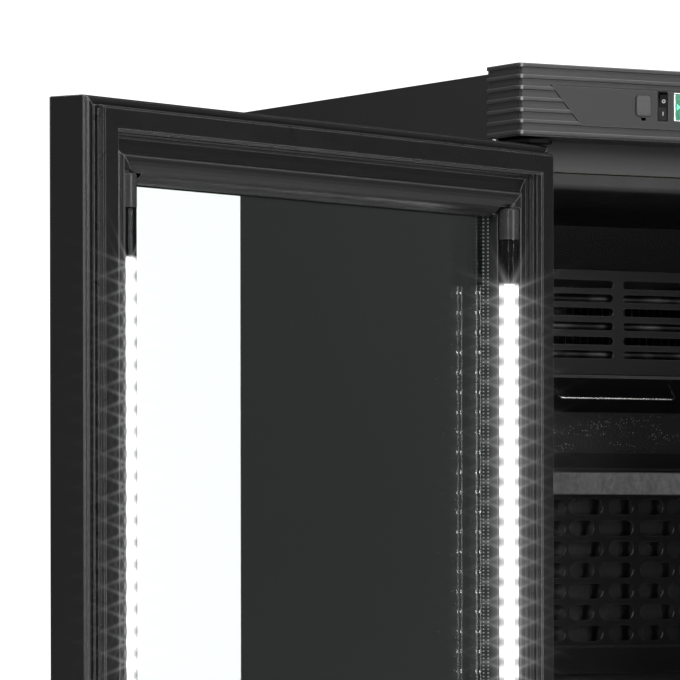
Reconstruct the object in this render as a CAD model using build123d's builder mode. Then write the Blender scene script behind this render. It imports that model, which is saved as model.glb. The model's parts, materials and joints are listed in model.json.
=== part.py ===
from build123d import *
import math
import os

# Upright cooler with a hinged double-glazed door, a ribbed header with controls and a machine bay
# at the lower back. The door is built closed and then swung open about its hinge axis.
# Millimetres. Origin: centre of the closed cabinet's footprint, on the floor.
# +X right, +Y to the back, +Z up. In names, ZB and ZT are the bottom and top of a feature, and a
# width given as _X is half of a width centred on X = 0.

os.makedirs("parts", exist_ok=True)

# ---------------------------------------------------------------- driving dimensions
CASE_W = 600.0            # casing width
Y_FRONT = -211.5          # sealing face of the cabinet
Y_BACK = 260.0            # outside of the rear panel
CASE_BACK = 258.0         # back edge of the steel casing
REAR_SHEET_Y = Y_BACK - 1.8   # front face of the rear panel and rear grille
Z_BASE = 30.0             # underside of the base pan
Z_ROOF = 844.6            # top of the steel casing
Z_TOP = 850.0             # top of the ribbed header
SHEET = 1.0               # casing and liner sheet

SEAL_X, SEAL_ZB, SEAL_ZT = 278.0, 111.0, 763.8        # cut-out in the front flange
THROAT_X, THROAT_ZB, THROAT_ZT = 264.0, 127.0, 749.0  # clear opening of the liner
TRIM_Y = -196.0           # back of the breaker trim, front of the liner
LINER_BACK = 215.0
HUMP_Y, HUMP_Z = 70.0, 285.0    # step of the liner over the machine bay
BAY_Y, BAY_Z = 100.0, 255.0     # machine bay, front wall and ceiling
FOAM_Z = 90.0             # underside of the foam
FOAM_GAP = 1.2            # foam surface to the outside of the casing or to the throat

KICK_X, KICK_Z = 254.0, 86.0    # opening for the plinth grille

FOOT_X, FOOT_YF, FOOT_YB = 252.0, -165.0, 215.0
FOOT_SPOTS = [(x, y) for x in (-FOOT_X, FOOT_X) for y in (FOOT_YF, FOOT_YB)]

DOOR_X = 300.0
DOOR_Y = -260.0           # outer face of the closed door
DOOR_ZB, DOOR_ZT = 92.0, 782.0
DOOR_W, DOOR_H = 2 * DOOR_X, DOOR_ZT - DOOR_ZB
HINGE_X, HINGE_Y = -287.0, -241.0
DOOR_ANGLE = 155.6        # how far the door stands open
PIN_R = 4.0
BUSH_R = 6.5
BUSH_H = 12.0


# ---------------------------------------------------------------- helpers
def at_x(x):
    """Sketch plane facing +X, drawn in (y, z)."""
    return Plane.YZ.offset(x)


def at_y(y):
    """Sketch plane facing the front, drawn in (x, z); a negative extrusion runs to the back."""
    return Plane.XZ.offset(-y)


def at_z(z):
    """Sketch plane facing up, drawn in (x, y)."""
    return Plane.XY.offset(z)


def rect_from(x0, x1, y0, y1, mode=Mode.ADD):
    """Rectangle given by its limits in the sketch."""
    with Locations(((x0 + x1) / 2, (y0 + y1) / 2)):
        Rectangle(x1 - x0, y1 - y0, mode=mode)


def centred_rect(width, low, high, mode=Mode.ADD):
    """Rectangle centred across the sketch, between two limits the other way."""
    rect_from(-width / 2, width / 2, low, high, mode)


def opened(piece):
    """Swings a piece built in the closed position to the door's opening angle."""
    return piece.rotate(Axis((HINGE_X, HINGE_Y, 0), (0, 0, 1)), -DOOR_ANGLE)


def save(name, piece):
    piece.label = name
    export_step(piece, f"parts/{name}.step")


# ---------------------------------------------------------------- cabinet shell
def outer_casing():
    """Painted steel wrapper: two sides, roof and the front flange round the opening."""
    with BuildPart() as casing:
        with BuildSketch(at_z(Z_BASE)):
            centred_rect(CASE_W, Y_FRONT, CASE_BACK)
        extrude(amount=Z_ROOF - Z_BASE)
        fillet(casing.edges().filter_by(Axis.Y).group_by(Axis.Z)[-1], 2.5)
        fillet(casing.edges().filter_by(Axis.Z).group_by(Axis.Y)[0], 1.5)
        # hollow it, leaving the bottom and back open
        with BuildSketch(at_z(Z_BASE - 1)):
            centred_rect(CASE_W - 2 * SHEET, Y_FRONT + SHEET, CASE_BACK + 4)
        extrude(amount=Z_ROOF - SHEET - Z_BASE + 1, mode=Mode.SUBTRACT)
        with BuildSketch(at_y(Y_FRONT - 1)):
            centred_rect(2 * SEAL_X, SEAL_ZB, SEAL_ZT)
            centred_rect(2 * KICK_X, Z_BASE - 1, KICK_Z)
        extrude(amount=-3, mode=Mode.SUBTRACT)
    return casing.part


def throat_section(front_y, gap):
    """Side outline (y, z) of the cold compartment, grown by a gap on all sides but the front."""
    return [
        (front_y, THROAT_ZB - gap), (HUMP_Y + gap, THROAT_ZB - gap), (HUMP_Y + gap, HUMP_Z - gap),
        (LINER_BACK + gap, HUMP_Z - gap), (LINER_BACK + gap, THROAT_ZT + gap),
        (front_y, THROAT_ZT + gap),
    ]


def insulation_foam():
    """Foam between the casing and the liner, stepped over the machine bay."""
    with BuildPart() as foam:
        with BuildSketch(at_z(FOAM_Z)):
            centred_rect(CASE_W - 2 * FOAM_GAP, Y_FRONT + FOAM_GAP, CASE_BACK - 0.2)
        extrude(amount=Z_ROOF - FOAM_GAP - FOAM_Z)
        with BuildSketch(at_y(Y_FRONT - 1)):
            centred_rect(2 * SEAL_X, SEAL_ZB, SEAL_ZT)
        extrude(amount=-(TRIM_Y - Y_FRONT + 1.2), mode=Mode.SUBTRACT)
        with BuildSketch(at_x(-THROAT_X - FOAM_GAP)):
            with BuildLine():
                Polyline(*throat_section(TRIM_Y - 2, FOAM_GAP), close=True)
            make_face()
        extrude(amount=2 * (THROAT_X + FOAM_GAP), mode=Mode.SUBTRACT)
        with BuildSketch(at_x(-CASE_W)):
            rect_from(BAY_Y, 300, FOAM_Z - 5, BAY_Z)
        extrude(amount=2 * CASE_W, mode=Mode.SUBTRACT)
    return foam.part


def inner_liner():
    """Thin liner of the cold compartment, open at the front, with the step at the lower back."""
    with BuildPart() as liner:
        with BuildSketch(at_x(-THROAT_X - SHEET)):
            with BuildLine():
                Polyline(*throat_section(TRIM_Y, SHEET), close=True)
            make_face()
        extrude(amount=2 * (THROAT_X + SHEET))
        with BuildSketch(at_x(-THROAT_X)):
            with BuildLine():
                Polyline(*throat_section(TRIM_Y - 1, 0), close=True)
            make_face()
        extrude(amount=2 * THROAT_X, mode=Mode.SUBTRACT)
    return liner.part


def breaker_trim():
    """Plastic ring closing the gap between front flange and liner, with a rounded inner lip."""
    face_y = Y_FRONT + 0.6
    clearance = 0.9
    with BuildPart() as trim:
        with BuildSketch(at_y(face_y)):
            centred_rect(2 * (SEAL_X - clearance), SEAL_ZB + clearance, SEAL_ZT - clearance)
            centred_rect(2 * THROAT_X, THROAT_ZB, THROAT_ZT, Mode.SUBTRACT)
        extrude(amount=-(TRIM_Y - Y_FRONT - 0.8))
        inner_edges = [
            edge for edge in trim.edges()
            if abs(edge.center().Y - face_y) < 0.1
            and abs(edge.center().X) < THROAT_X + 0.5
            and THROAT_ZB - 0.5 < edge.center().Z < THROAT_ZT + 0.5
        ]
        fillet(inner_edges, 5.0)
    return trim.part


def back_panel():
    """Rear sheet above the machine bay, stiffened with four pressed swages."""
    with BuildPart() as panel:
        with BuildSketch(at_y(REAR_SHEET_Y)):
            centred_rect(CASE_W, 262.0, Z_ROOF)
        extrude(amount=-SHEET)
        for x in (-195, -65, 65, 195):
            with BuildSketch(at_y(Y_BACK - 0.9)):
                with Locations((x, 550)):
                    SlotOverall(440, 26, rotation=90)
            extrude(amount=-0.9, taper=20)
    return panel.part


def base_pan():
    """Base pan with side flanges, a row of slots and four foot sockets."""
    pan_front, pan_back = -203, 257
    flange_x, flange_sheet = 298.0, 1.6
    with BuildPart() as pan:
        with BuildSketch(at_z(Z_BASE)):
            centred_rect(597.6, pan_front, pan_back)
        extrude(amount=2)
        for side in (-1, 1):
            with BuildSketch(at_z(Z_BASE)):
                with Locations((side * flange_x, (pan_front + pan_back) / 2)):
                    Rectangle(flange_sheet, pan_back - pan_front)
            extrude(amount=26)
        with BuildSketch(at_z(Z_BASE)):
            with Locations(*FOOT_SPOTS):
                Circle(9)
        extrude(amount=24)
        with BuildSketch(at_z(Z_BASE - 1)):
            with Locations(*FOOT_SPOTS):
                Circle(5.06)
        extrude(amount=30, mode=Mode.SUBTRACT)
        with BuildSketch(at_z(Z_BASE - 1)):
            with GridLocations(22, 0, 9, 1):
                SlotOverall(60, 6, rotation=90)
        extrude(amount=10, mode=Mode.SUBTRACT)
    return pan.part


def kick_grille():
    """Plinth grille below the door: face plate, rim behind it and rows of horizontal slots."""
    centre = (0, 59.5)
    face_y, thickness = -217.0, 3
    with BuildPart() as grille:
        with BuildSketch(at_y(face_y)):
            with Locations(centre):
                RectangleRounded(2 * KICK_X - 2, 51, 3)
        extrude(amount=-thickness)
        with BuildSketch(at_y(face_y + thickness)):
            with Locations(centre):
                Rectangle(2 * KICK_X - 6, 45)
                Rectangle(2 * KICK_X - 10, 41, mode=Mode.SUBTRACT)
        extrude(amount=-8)
        with BuildSketch(at_y(face_y - 1)):
            with Locations(centre):
                with GridLocations(52, 9, 9, 4):
                    SlotOverall(44, 4.5)
        extrude(amount=-5, mode=Mode.SUBTRACT)
    return grille.part


def rear_grille():
    """Slotted cover over the machine bay at the back."""
    centre = (0, 146)
    with BuildPart() as grille:
        with BuildSketch(at_y(REAR_SHEET_Y)):
            with Locations(centre):
                Rectangle(CASE_W - 4, 226)
        extrude(amount=-1.2)
        with BuildSketch(at_y(Y_BACK - 4)):
            with Locations(centre):
                with GridLocations(90, 13, 6, 14):
                    SlotOverall(76, 5)
        extrude(amount=-8, mode=Mode.SUBTRACT)
    return grille.part


# ---------------------------------------------------------------- header and controls
HEAD_Z = 789.0            # underside of the header
HEAD_X = 302.5            # crest of the header ribs
HEAD_Y = -260.0
HEAD_BACK = -207.0
HEAD_CUT_BACK = -150      # hollowing cuts run past the back of the header to here
RIB = 1.3                 # rib height over the channels
RIB_PITCH = 9.35
RIB_TALL = 3.2
RIB_ZS = [848.2 - RIB_PITCH * i for i in range(7)]

# Slanted-end opening for the control plate, and the plate itself, as (x, z).
PLATE_OPENING = [(-270.8, 832.6), (270.8, 832.6), (240.8, 799.4), (-240.8, 799.4)]
PLATE_OUTLINE = [(-270.2, 832.35), (270.2, 832.35), (240.6, 799.65), (-240.6, 799.65)]

CAP_X, CAP_Z, CAP_W, CAP_H = -179.9, 818.9, 15.4, 18.4
CAP_Y = -259.75           # back of the cap's rim
SWITCH_X, SWITCH_Z, SWITCH_W, SWITCH_H = -160.3, 819.4, 10.7, 25.6
TRUNNION_Y = -253.0
LCD_X, LCD_Z, LCD_W, LCD_H = -117.5, 819.4, 64.0, 24.2
BOARD_Y, BOARD_T = -253.0, 1.6


def header_cover():
    """Ribbed header wrapping the top front edge: seven ribs round the front and both cheeks."""
    cavity_w = 2 * (HEAD_X - 3.6)
    with BuildPart() as header:
        with BuildSketch(at_z(HEAD_Z)):
            centred_rect(2 * (HEAD_X - RIB), HEAD_Y + RIB, HEAD_BACK)
        extrude(amount=Z_TOP - HEAD_Z)
        fillet(header.edges().filter_by(Axis.Z).group_by(Axis.Y)[0], 3.0)
        for z in RIB_ZS:
            with BuildSketch(at_z(z - RIB_TALL / 2)):
                with BuildLine():
                    Polyline(
                        (-HEAD_X, HEAD_BACK), (-HEAD_X, HEAD_Y + 4), (-HEAD_X + 4, HEAD_Y),
                        (HEAD_X - 4, HEAD_Y), (HEAD_X, HEAD_Y + 4), (HEAD_X, HEAD_BACK),
                        close=True,
                    )
                make_face()
            extrude(amount=RIB_TALL)
        with BuildSketch(at_z(HEAD_Z + 2.2)):
            centred_rect(cavity_w, HEAD_Y + 3.8, HEAD_CUT_BACK)
        extrude(amount=Z_TOP - HEAD_Z - 4.4, mode=Mode.SUBTRACT)
        # clearance for the casing behind the sealing face
        with BuildSketch(at_z(HEAD_Z - 1)):
            centred_rect(CASE_W + 0.4, -212.0, HEAD_CUT_BACK)
        extrude(amount=Z_ROOF + 0.2 - HEAD_Z + 1, mode=Mode.SUBTRACT)
        # open strip in the floor of the header
        with BuildSketch(at_z(HEAD_Z - 1)):
            centred_rect(cavity_w, -217.5, HEAD_CUT_BACK)
        extrude(amount=5, mode=Mode.SUBTRACT)
        with BuildSketch(at_y(HEAD_Y - 2)):
            with BuildLine():
                Polyline(*PLATE_OPENING, close=True)
            make_face()
        extrude(amount=-8, mode=Mode.SUBTRACT)
    return header.part


def control_panel():
    """Flat plate set into the header, with cut-outs for the controls."""
    with BuildPart() as plate:
        with BuildSketch(at_y(HEAD_Y + 0.3)):
            with BuildLine():
                Polyline(*PLATE_OUTLINE, close=True)
            make_face()
            with Locations((SWITCH_X, SWITCH_Z)):
                Rectangle(SWITCH_W, SWITCH_H, mode=Mode.SUBTRACT)
            with Locations((LCD_X, LCD_Z)):
                RectangleRounded(LCD_W, LCD_H, 0.8, mode=Mode.SUBTRACT)
            with Locations((CAP_X, CAP_Z)):
                RectangleRounded(CAP_W - 3, CAP_H - 3, 2.5, mode=Mode.SUBTRACT)
            # small slot under the cap
            with Locations((CAP_X + 0.4, CAP_Z - CAP_H / 2 - 1.9)):
                Rectangle(5.0, 2.7, mode=Mode.SUBTRACT)
        extrude(amount=-2.8)
    return plate.part


def blank_cap():
    """Rounded snap-in cap beside the switch."""
    with BuildPart() as cap:
        with BuildSketch(at_y(CAP_Y)):
            with Locations((CAP_X, CAP_Z)):
                RectangleRounded(CAP_W, CAP_H, 3.2)
        extrude(amount=1.5)
        fillet(cap.faces().sort_by(Axis.Y)[0].edges(), 1.0)
        with BuildSketch(at_y(CAP_Y)):
            with Locations((CAP_X, CAP_Z)):
                RectangleRounded(CAP_W - 3.4, CAP_H - 3.4, 2.3)
        extrude(amount=-5)
    return cap.part


def switch_housing():
    """Switch housing: front frame, tube behind the plate, back wall and three terminals."""
    bore_w, bore_h = SWITCH_W - 2.1, SWITCH_H - 2.1
    body_w, body_h = SWITCH_W + 1.4, SWITCH_H + 1.4
    centre = (SWITCH_X, SWITCH_Z)
    with BuildPart() as housing:
        with BuildSketch(at_y(-255.0)):
            with Locations(centre):
                Rectangle(SWITCH_W - 0.3, SWITCH_H - 0.3)
                Rectangle(bore_w, bore_h, mode=Mode.SUBTRACT)
        extrude(amount=5.1)
        with BuildSketch(at_y(-256.0)):
            with Locations(centre):
                Rectangle(body_w, body_h)
                Rectangle(bore_w, bore_h, mode=Mode.SUBTRACT)
        extrude(amount=-16)
        with BuildSketch(at_y(-242.0)):
            with Locations(centre):
                Rectangle(body_w, body_h)
        extrude(amount=-2)
        with BuildSketch(at_y(-240.0)):
            with Locations(centre):
                with GridLocations(0, 8, 1, 3):
                    Rectangle(4.8, 0.8)
        extrude(amount=-7)
        # trunnion holes for the rocker in the side walls
        with BuildSketch(at_x(SWITCH_X - 10)):
            with Locations((TRUNNION_Y, SWITCH_Z)):
                Circle(1.25)
        extrude(amount=20, mode=Mode.SUBTRACT)
    return housing.part


def rocker():
    """Rocker, a shallow V seen from the side, tipped about its trunnions."""
    tilt = 7.0
    width, trunnion_len = SWITCH_W - 2.7, SWITCH_W + 0.9
    # (y, height above the trunnions)
    outline = [
        (-259.4, 0), (-261.3, 10.7), (-254.0, 10.7), (-249.5, 3.0),
        (-249.5, -3.0), (-254.0, -10.7), (-261.3, -10.7),
    ]
    with BuildPart() as key:
        with BuildSketch(at_x(SWITCH_X - width / 2)):
            with BuildLine():
                Polyline(*[(y, SWITCH_Z + rise) for y, rise in outline], close=True)
            make_face()
        extrude(amount=width)
        with BuildSketch(at_x(SWITCH_X - trunnion_len / 2)):
            with Locations((TRUNNION_Y, SWITCH_Z)):
                Circle(1.2)
        extrude(amount=trunnion_len)
    return key.part.rotate(Axis((SWITCH_X, TRUNNION_Y, SWITCH_Z), (1, 0, 0)), tilt)


def display_bezel():
    """Thin surround of the display window."""
    with BuildPart() as bezel:
        with BuildSketch(at_y(-257.0)):
            with Locations((LCD_X, LCD_Z)):
                RectangleRounded(LCD_W - 0.3, LCD_H - 0.3, 0.7)
                RectangleRounded(LCD_W - 3.1, LCD_H - 1.7, 0.4, mode=Mode.SUBTRACT)
        extrude(amount=3.2)
    return bezel.part


def display_cell():
    """Liquid-crystal cell inside the bezel."""
    with BuildPart() as cell:
        with BuildSketch(at_y(-257.2)):
            with Locations((LCD_X, LCD_Z)):
                Rectangle(LCD_W - 3.3, LCD_H - 1.9)
        extrude(amount=2.0)
    return cell.part


def control_board():
    """Controller board behind the display, with blocks on its back and four front posts."""
    with BuildPart() as board:
        with BuildSketch(at_y(BOARD_Y)):
            with Locations((LCD_X, LCD_Z)):
                Rectangle(LCD_W + 8, LCD_H + 4)
        extrude(amount=-BOARD_T)
        with BuildSketch(at_y(BOARD_Y + BOARD_T)):
            with Locations((LCD_X - 18, LCD_Z)):
                Rectangle(20, 15)
            with Locations((LCD_X + 18, LCD_Z)):
                Rectangle(28, 10)
            with Locations((LCD_X - 2, LCD_Z + 4)):
                Circle(3)
        extrude(amount=-13)
        with BuildSketch(at_y(BOARD_Y - 3.9)):
            with Locations((LCD_X, LCD_Z)):
                with GridLocations(LCD_W + 2, LCD_H - 2, 2, 2):
                    Circle(1.5)
        extrude(amount=-4)
    return board.part


def header_screws():
    """Small screw heads under the lower back corner of each cheek."""
    with BuildPart() as screws:
        for side in (-1, 1):
            with BuildSketch(at_z(786.6)):
                with Locations((side * 299.0, -215.4)):
                    Circle(3.0)
            extrude(amount=2.3)
    return screws.part


# ---------------------------------------------------------------- cooling in the compartment
COVER_Y = 75.0            # front plane of the evaporator cover
COVER_ZB, COVER_ZT = 603.0, 700.0
COVER_SHEET = 1.2
COVER_SLOT_ZS = [686.2, 673.5, 660.8, 647.7, 634.3, 621.6]
COVER_SLOT_XS = [-188.0, -62.6, 62.6, 188.0]

COIL_X0, COIL_X1 = -238.0, 98.0
COIL_Z = 648.0            # middle of the finned pack
TUBE_ZS = [673.2, 648.0, 622.4]
TUBE_R = 4.8

EVAP_FAN_X, EVAP_FAN_Y, EVAP_FAN_Z = 180.0, 140.0, 650.0


def evaporator_cover():
    """Slotted front cover of the evaporator, with folded top and bottom flanges."""
    inner_y = COVER_Y + COVER_SHEET
    with BuildPart() as cover:
        with BuildSketch(at_x(-THROAT_X + 2)):
            with BuildLine():
                Polyline(
                    (COVER_Y, COVER_ZB), (COVER_Y, COVER_ZT),
                    (COVER_Y + 18, COVER_ZT), (COVER_Y + 18, COVER_ZT - COVER_SHEET),
                    (inner_y, COVER_ZT - COVER_SHEET), (inner_y, COVER_ZB + COVER_SHEET),
                    (COVER_Y + 12, COVER_ZB + COVER_SHEET), (COVER_Y + 12, COVER_ZB),
                    close=True,
                )
            make_face()
        extrude(amount=2 * THROAT_X - 4)
        fillet(cover.edges().filter_by(Axis.X).group_by(Axis.Y)[0], 1.0)
        for z in COVER_SLOT_ZS:
            with BuildSketch(at_y(COVER_Y - 2)):
                with Locations(*[(x, z) for x in COVER_SLOT_XS]):
                    SlotOverall(114.5, 7.2)
            extrude(amount=-6, mode=Mode.SUBTRACT)
    return cover.part


def evaporator_coil():
    """Three bare front tubes, a finned pack of tubes behind them and two end plates."""
    length = COIL_X1 - COIL_X0
    fin_count, fin_pitch, fin_sheet, fin_size = 42, 8.0, 0.4, 74
    end_sheet = 1.5
    with BuildPart() as coil:
        for z in TUBE_ZS:
            with BuildSketch(at_x(COIL_X0)):
                with Locations((88.0, z)):
                    Circle(TUBE_R)
                    Circle(4.0, mode=Mode.SUBTRACT)
            extrude(amount=length)
        for z in TUBE_ZS:
            for y in (112.0, 136.0, 160.0):
                with BuildSketch(at_x(COIL_X0)):
                    with Locations((y, z)):
                        Circle(TUBE_R)
                extrude(amount=length)
        for i in range(fin_count):
            with BuildSketch(at_x(COIL_X0 + 4 + i * fin_pitch)):
                with Locations((137, COIL_Z)):
                    Rectangle(fin_size, fin_size)
            extrude(amount=fin_sheet)
        for x in (COIL_X0, COIL_X1 - end_sheet):
            with BuildSketch(at_x(x)):
                with Locations((128, COIL_Z)):
                    RectangleRounded(98, 80, 4)
            extrude(amount=end_sheet)
    return coil.part


def evaporator_fan_motor():
    """Fan housing beside the coil: square plate with a round opening, motor, arms and shaft."""
    centre = (EVAP_FAN_X, EVAP_FAN_Z)
    motor_y = EVAP_FAN_Y + 14
    with BuildPart() as housing:
        with BuildSketch(at_y(EVAP_FAN_Y + 6)):
            with Locations(centre):
                RectangleRounded(84, 84, 5)
                Circle(39, mode=Mode.SUBTRACT)
        extrude(amount=-16)
        with BuildSketch(at_y(motor_y)):
            with Locations(centre):
                Rectangle(82, 6)
                Rectangle(6, 82)
                Circle(17)
        extrude(amount=-8)
        with BuildSketch(at_y(motor_y)):
            with Locations(centre):
                Circle(2.0)
        extrude(amount=26)
    return housing.part


def fan_wheel(centre, tip_r, hub_r, hub_len, bore_r):
    """Five-bladed fan on an axis along Y; the centre is that of the hub's front face."""
    blade_count, blade_t = 5, 2.0
    root_lean, tip_twist = 40, 14    # degrees
    tip_t = blade_t * 0.8
    x, y, z = centre
    with BuildPart() as fan:
        with BuildSketch(at_y(y)):
            with Locations((x, z)):
                Circle(hub_r)
        extrude(amount=-hub_len)
        for i in range(blade_count):
            angle = math.radians(360.0 / blade_count * i)
            blade_plane = Plane(
                origin=(x, y + hub_len / 2, z),
                x_dir=(0, 1, 0),
                z_dir=(math.cos(angle), 0, math.sin(angle)),
            )
            with BuildSketch(blade_plane.offset(hub_r - 1.5)):
                with Locations(Location((0, 0), root_lean)):
                    RectangleRounded(blade_t, hub_r * 1.1, blade_t / 2 - 0.05)
            with BuildSketch(blade_plane.offset(tip_r)):
                with Locations(Location((0, 0), root_lean + tip_twist)):
                    RectangleRounded(tip_t, tip_r * 0.72, tip_t / 2 - 0.05)
            loft()
        with BuildSketch(at_y(y - 1)):
            with Locations((x, z)):
                Circle(bore_r)
        extrude(amount=-hub_len - 2, mode=Mode.SUBTRACT)
    return fan.part


def evaporator_fan():
    centre = (EVAP_FAN_X, EVAP_FAN_Y - 10, EVAP_FAN_Z)
    return fan_wheel(centre, tip_r=35.0, hub_r=10.0, hub_len=14.0, bore_r=2.05)


def drip_tray():
    """Sloped condensate tray under the evaporator, falling to the back."""
    front_y, back_y = COVER_Y + 1.6, LINER_BACK - 2
    rim_front, rim_back, low_back = (front_y, 602.6), (back_y, 600.0), (back_y, 572.4)
    with BuildPart() as tray:
        with BuildSketch(at_x(-THROAT_X + 3)):
            with BuildLine():
                Polyline(
                    (front_y, 600.0), rim_front, (COVER_Y + 3, 602.6), (COVER_Y + 3, 601.2),
                    (back_y - 2, 574.4), (back_y - 2, 600.0), rim_back, low_back, close=True,
                )
            make_face()
        extrude(amount=2 * THROAT_X - 6)
        for side in (-1, 1):
            with BuildSketch(at_x(side * (THROAT_X - 3.5) - 0.5)):
                with BuildLine():
                    Polyline((front_y, 600.0), rim_front, rim_back, low_back, close=True)
                make_face()
            extrude(amount=1.0)
    return tray.part


def tube(points, radius, bend):
    """Round bar swept along a path of straight runs with filleted corners."""
    with BuildPart() as pipe:
        with BuildLine() as path:
            FilletPolyline(*points, radius=bend)
        with BuildSketch(Plane(origin=path.line @ 0, z_dir=path.line % 0)):
            Circle(radius)
        sweep()
    return pipe.part


def probe_guard():
    """Thin wire loop hung across the front of the tray."""
    points = [(-63, 88, 595.0), (-63, 76, 581.4), (63, 76, 581.4), (63, 88, 595.0)]
    return tube(points, radius=1.2, bend=5)


# Rear air duct panel. Rows of obround slots alternate between two patterns; each pattern lists
# (right end, length) of its first slots right of the middle.
DUCT_Y = 200.0            # front plane
DUCT_ZB, DUCT_ZT = 324.0, 534.0
DUCT_W, DUCT_SHEET = 500, 1.2
DUCT_ROW_ZS = [362.0 + 20.0 * i for i in range(7)]
LONG_SLOT, SHORT_SLOT = 38.2, 27.0
SLOT_GAP = 5.3
DUCT_PATTERNS = (
    [(18.0, SHORT_SLOT), (59.6, LONG_SLOT), (93.4, SHORT_SLOT), (126.7, SHORT_SLOT)],
    [(18.0, SHORT_SLOT), (49.5, SHORT_SLOT), (93.4, LONG_SLOT), (139.4, LONG_SLOT)],
)


def duct_row(ends):
    """Slots of one row as (centre x, length), the first slot being the middle one."""
    mirror_sum = -9.4     # a slot centre and its mirrored twin add up to this
    slots = [(end - length / 2, length) for end, length in ends]
    slots += [(mirror_sum - centre, length) for centre, length in slots[1:]]
    edge = max(centre + length / 2 for centre, length in slots)
    # short slots fill the row out to both sides
    while edge + SLOT_GAP + SHORT_SLOT < 232:
        centre = edge + SLOT_GAP + SHORT_SLOT / 2
        slots += [(centre, SHORT_SLOT), (mirror_sum - centre, SHORT_SLOT)]
        edge += SLOT_GAP + SHORT_SLOT
    return slots


def duct_panel():
    """Folded sheet with a brick pattern of slots between two raised lines."""
    with BuildPart() as panel:
        with BuildSketch(at_y(DUCT_Y)):
            centred_rect(DUCT_W, DUCT_ZB, DUCT_ZT)
        extrude(amount=-DUCT_SHEET)
        for side in (-1, 1):
            with BuildSketch(at_y(DUCT_Y)):
                with Locations((side * (DUCT_W - DUCT_SHEET) / 2, (DUCT_ZB + DUCT_ZT) / 2)):
                    Rectangle(DUCT_SHEET, DUCT_ZT - DUCT_ZB)
            extrude(amount=-14.8)
        for z in (DUCT_ZB + DUCT_SHEET / 2, DUCT_ZT - DUCT_SHEET / 2):
            with BuildSketch(at_y(DUCT_Y)):
                with Locations((0, z)):
                    Rectangle(DUCT_W, DUCT_SHEET)
            extrude(amount=-4)
        with BuildSketch(at_y(DUCT_Y)):
            with Locations((0, 349.2), (0, 518.0)):
                Rectangle(478, 1.4)
        extrude(amount=0.8)
        with BuildSketch(at_y(DUCT_Y - 2)):
            for i, z in enumerate(DUCT_ROW_ZS):
                for centre, length in duct_row(DUCT_PATTERNS[i % 2]):
                    with Locations((centre, z)):
                        SlotOverall(length, 14.5)
        extrude(amount=-6, mode=Mode.SUBTRACT)
    return panel.part


# ---------------------------------------------------------------- shelves
SHELF_ZS = {"upper": 490.0, "lower": 300.0}
SHELF_Y0, SHELF_Y1 = -186.0, 182.0
PILASTER_YF, PILASTER_YB = -150.0, 150.0
PILASTER_SPANS = {PILASTER_YF: (140.0, 590.0), PILASTER_YB: (292.0, 276.0)}  # bottom z, height


def pilasters():
    """Four slotted strips on the side walls, the rear pair shorter."""
    thickness = 4.0
    with BuildPart() as strips:
        for side in (-1, 1):
            for y, (bottom, height) in PILASTER_SPANS.items():
                with BuildSketch(at_z(bottom)):
                    with Locations((side * (THROAT_X - 0.2 - thickness / 2), y)):
                        Rectangle(thickness, 18)
                extrude(amount=height)
        for z in [160.0 + 20.0 * i for i in range(28)]:
            with BuildSketch(at_x(-THROAT_X - 1)):
                with Locations((PILASTER_YF, z)):
                    Rectangle(8, 5)
                if 298 < z < 562:
                    with Locations((PILASTER_YB, z)):
                        Rectangle(8, 5)
            extrude(amount=2 * THROAT_X + 2, mode=Mode.SUBTRACT)
    return strips.part


def shelf_clips():
    """Clips that carry the shelves, four to a shelf."""
    # (distance in from the side wall, height over the shelf level)
    outline = [
        (4.3, 8), (5.5, 8), (5.5, 2.8), (13.0, 2.8), (13.0, 1.4), (6.0, -8), (4.3, -8),
    ]
    clip_w = 10
    with BuildPart() as clips:
        for shelf_z in SHELF_ZS.values():
            for side in (-1, 1):
                points = [(side * (THROAT_X - inset), shelf_z + rise) for inset, rise in outline]
                for y in (PILASTER_YF, PILASTER_YB):
                    with BuildSketch(at_y(y - clip_w / 2)):
                        with BuildLine():
                            Polyline(*points, close=True)
                        make_face()
                    extrude(amount=-clip_w)
    return clips.part


def wire_shelf(z):
    """Wire shelf: two side rods, four cross rods and 19 wires on top, running front to back."""
    rod_x, rod_z = 253.0, z + 6.2
    with BuildPart() as shelf:
        for side in (-1, 1):
            with BuildSketch(at_y(SHELF_Y0 + 6)):
                with Locations((side * rod_x, rod_z)):
                    Circle(3.0)
            extrude(amount=-(SHELF_Y1 - SHELF_Y0 - 6))
        for y in (SHELF_Y0 + 9, -66.0, 54.0, SHELF_Y1 - 3):
            with BuildSketch(at_x(-rod_x)):
                with Locations((y, rod_z)):
                    Circle(2.5)
            extrude(amount=2 * rod_x)
        for i in range(19):
            with BuildSketch(at_y(SHELF_Y0 + 7)):
                with Locations((-234.0 + 26.0 * i, z + 9.4)):
                    Circle(1.6)
            extrude(amount=-(SHELF_Y1 - SHELF_Y0 - 7))
    return shelf.part


def price_rail(z):
    """Channel along the front edge of a shelf, open to the back."""
    # (distance behind the shelf front, height over the shelf level)
    outline = [
        (0, 1.0), (0, 18.5), (1, 19.5), (4.5, 19.5), (4.5, 12.6),
        (2.4, 12.6), (2.4, 2.2), (4.5, 2.2), (4.5, 0), (1, 0),
    ]
    half_length = 254.0
    with BuildPart() as rail:
        with BuildSketch(at_x(-half_length)):
            with BuildLine():
                Polyline(*[(SHELF_Y0 + depth, z + rise) for depth, rise in outline], close=True)
            make_face()
        extrude(amount=2 * half_length)
    return rail.part


# ---------------------------------------------------------------- machine bay
COMP_X, COMP_Y = -130.0, 178.0
COMP_FEET = [(x, y) for x in (-76, 76) for y in (-44, 44)]    # from the compressor axis
# Shell half-section as (radius, z), with a proud seam at z 118 to 122.
COMP_SHELL = [
    (0, 50), (44, 50), (60, 62), (62, 80), (62, 118), (65, 118), (65, 122), (62, 122),
    (62, 150), (54, 176), (36, 192), (0, 196),
]

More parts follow.
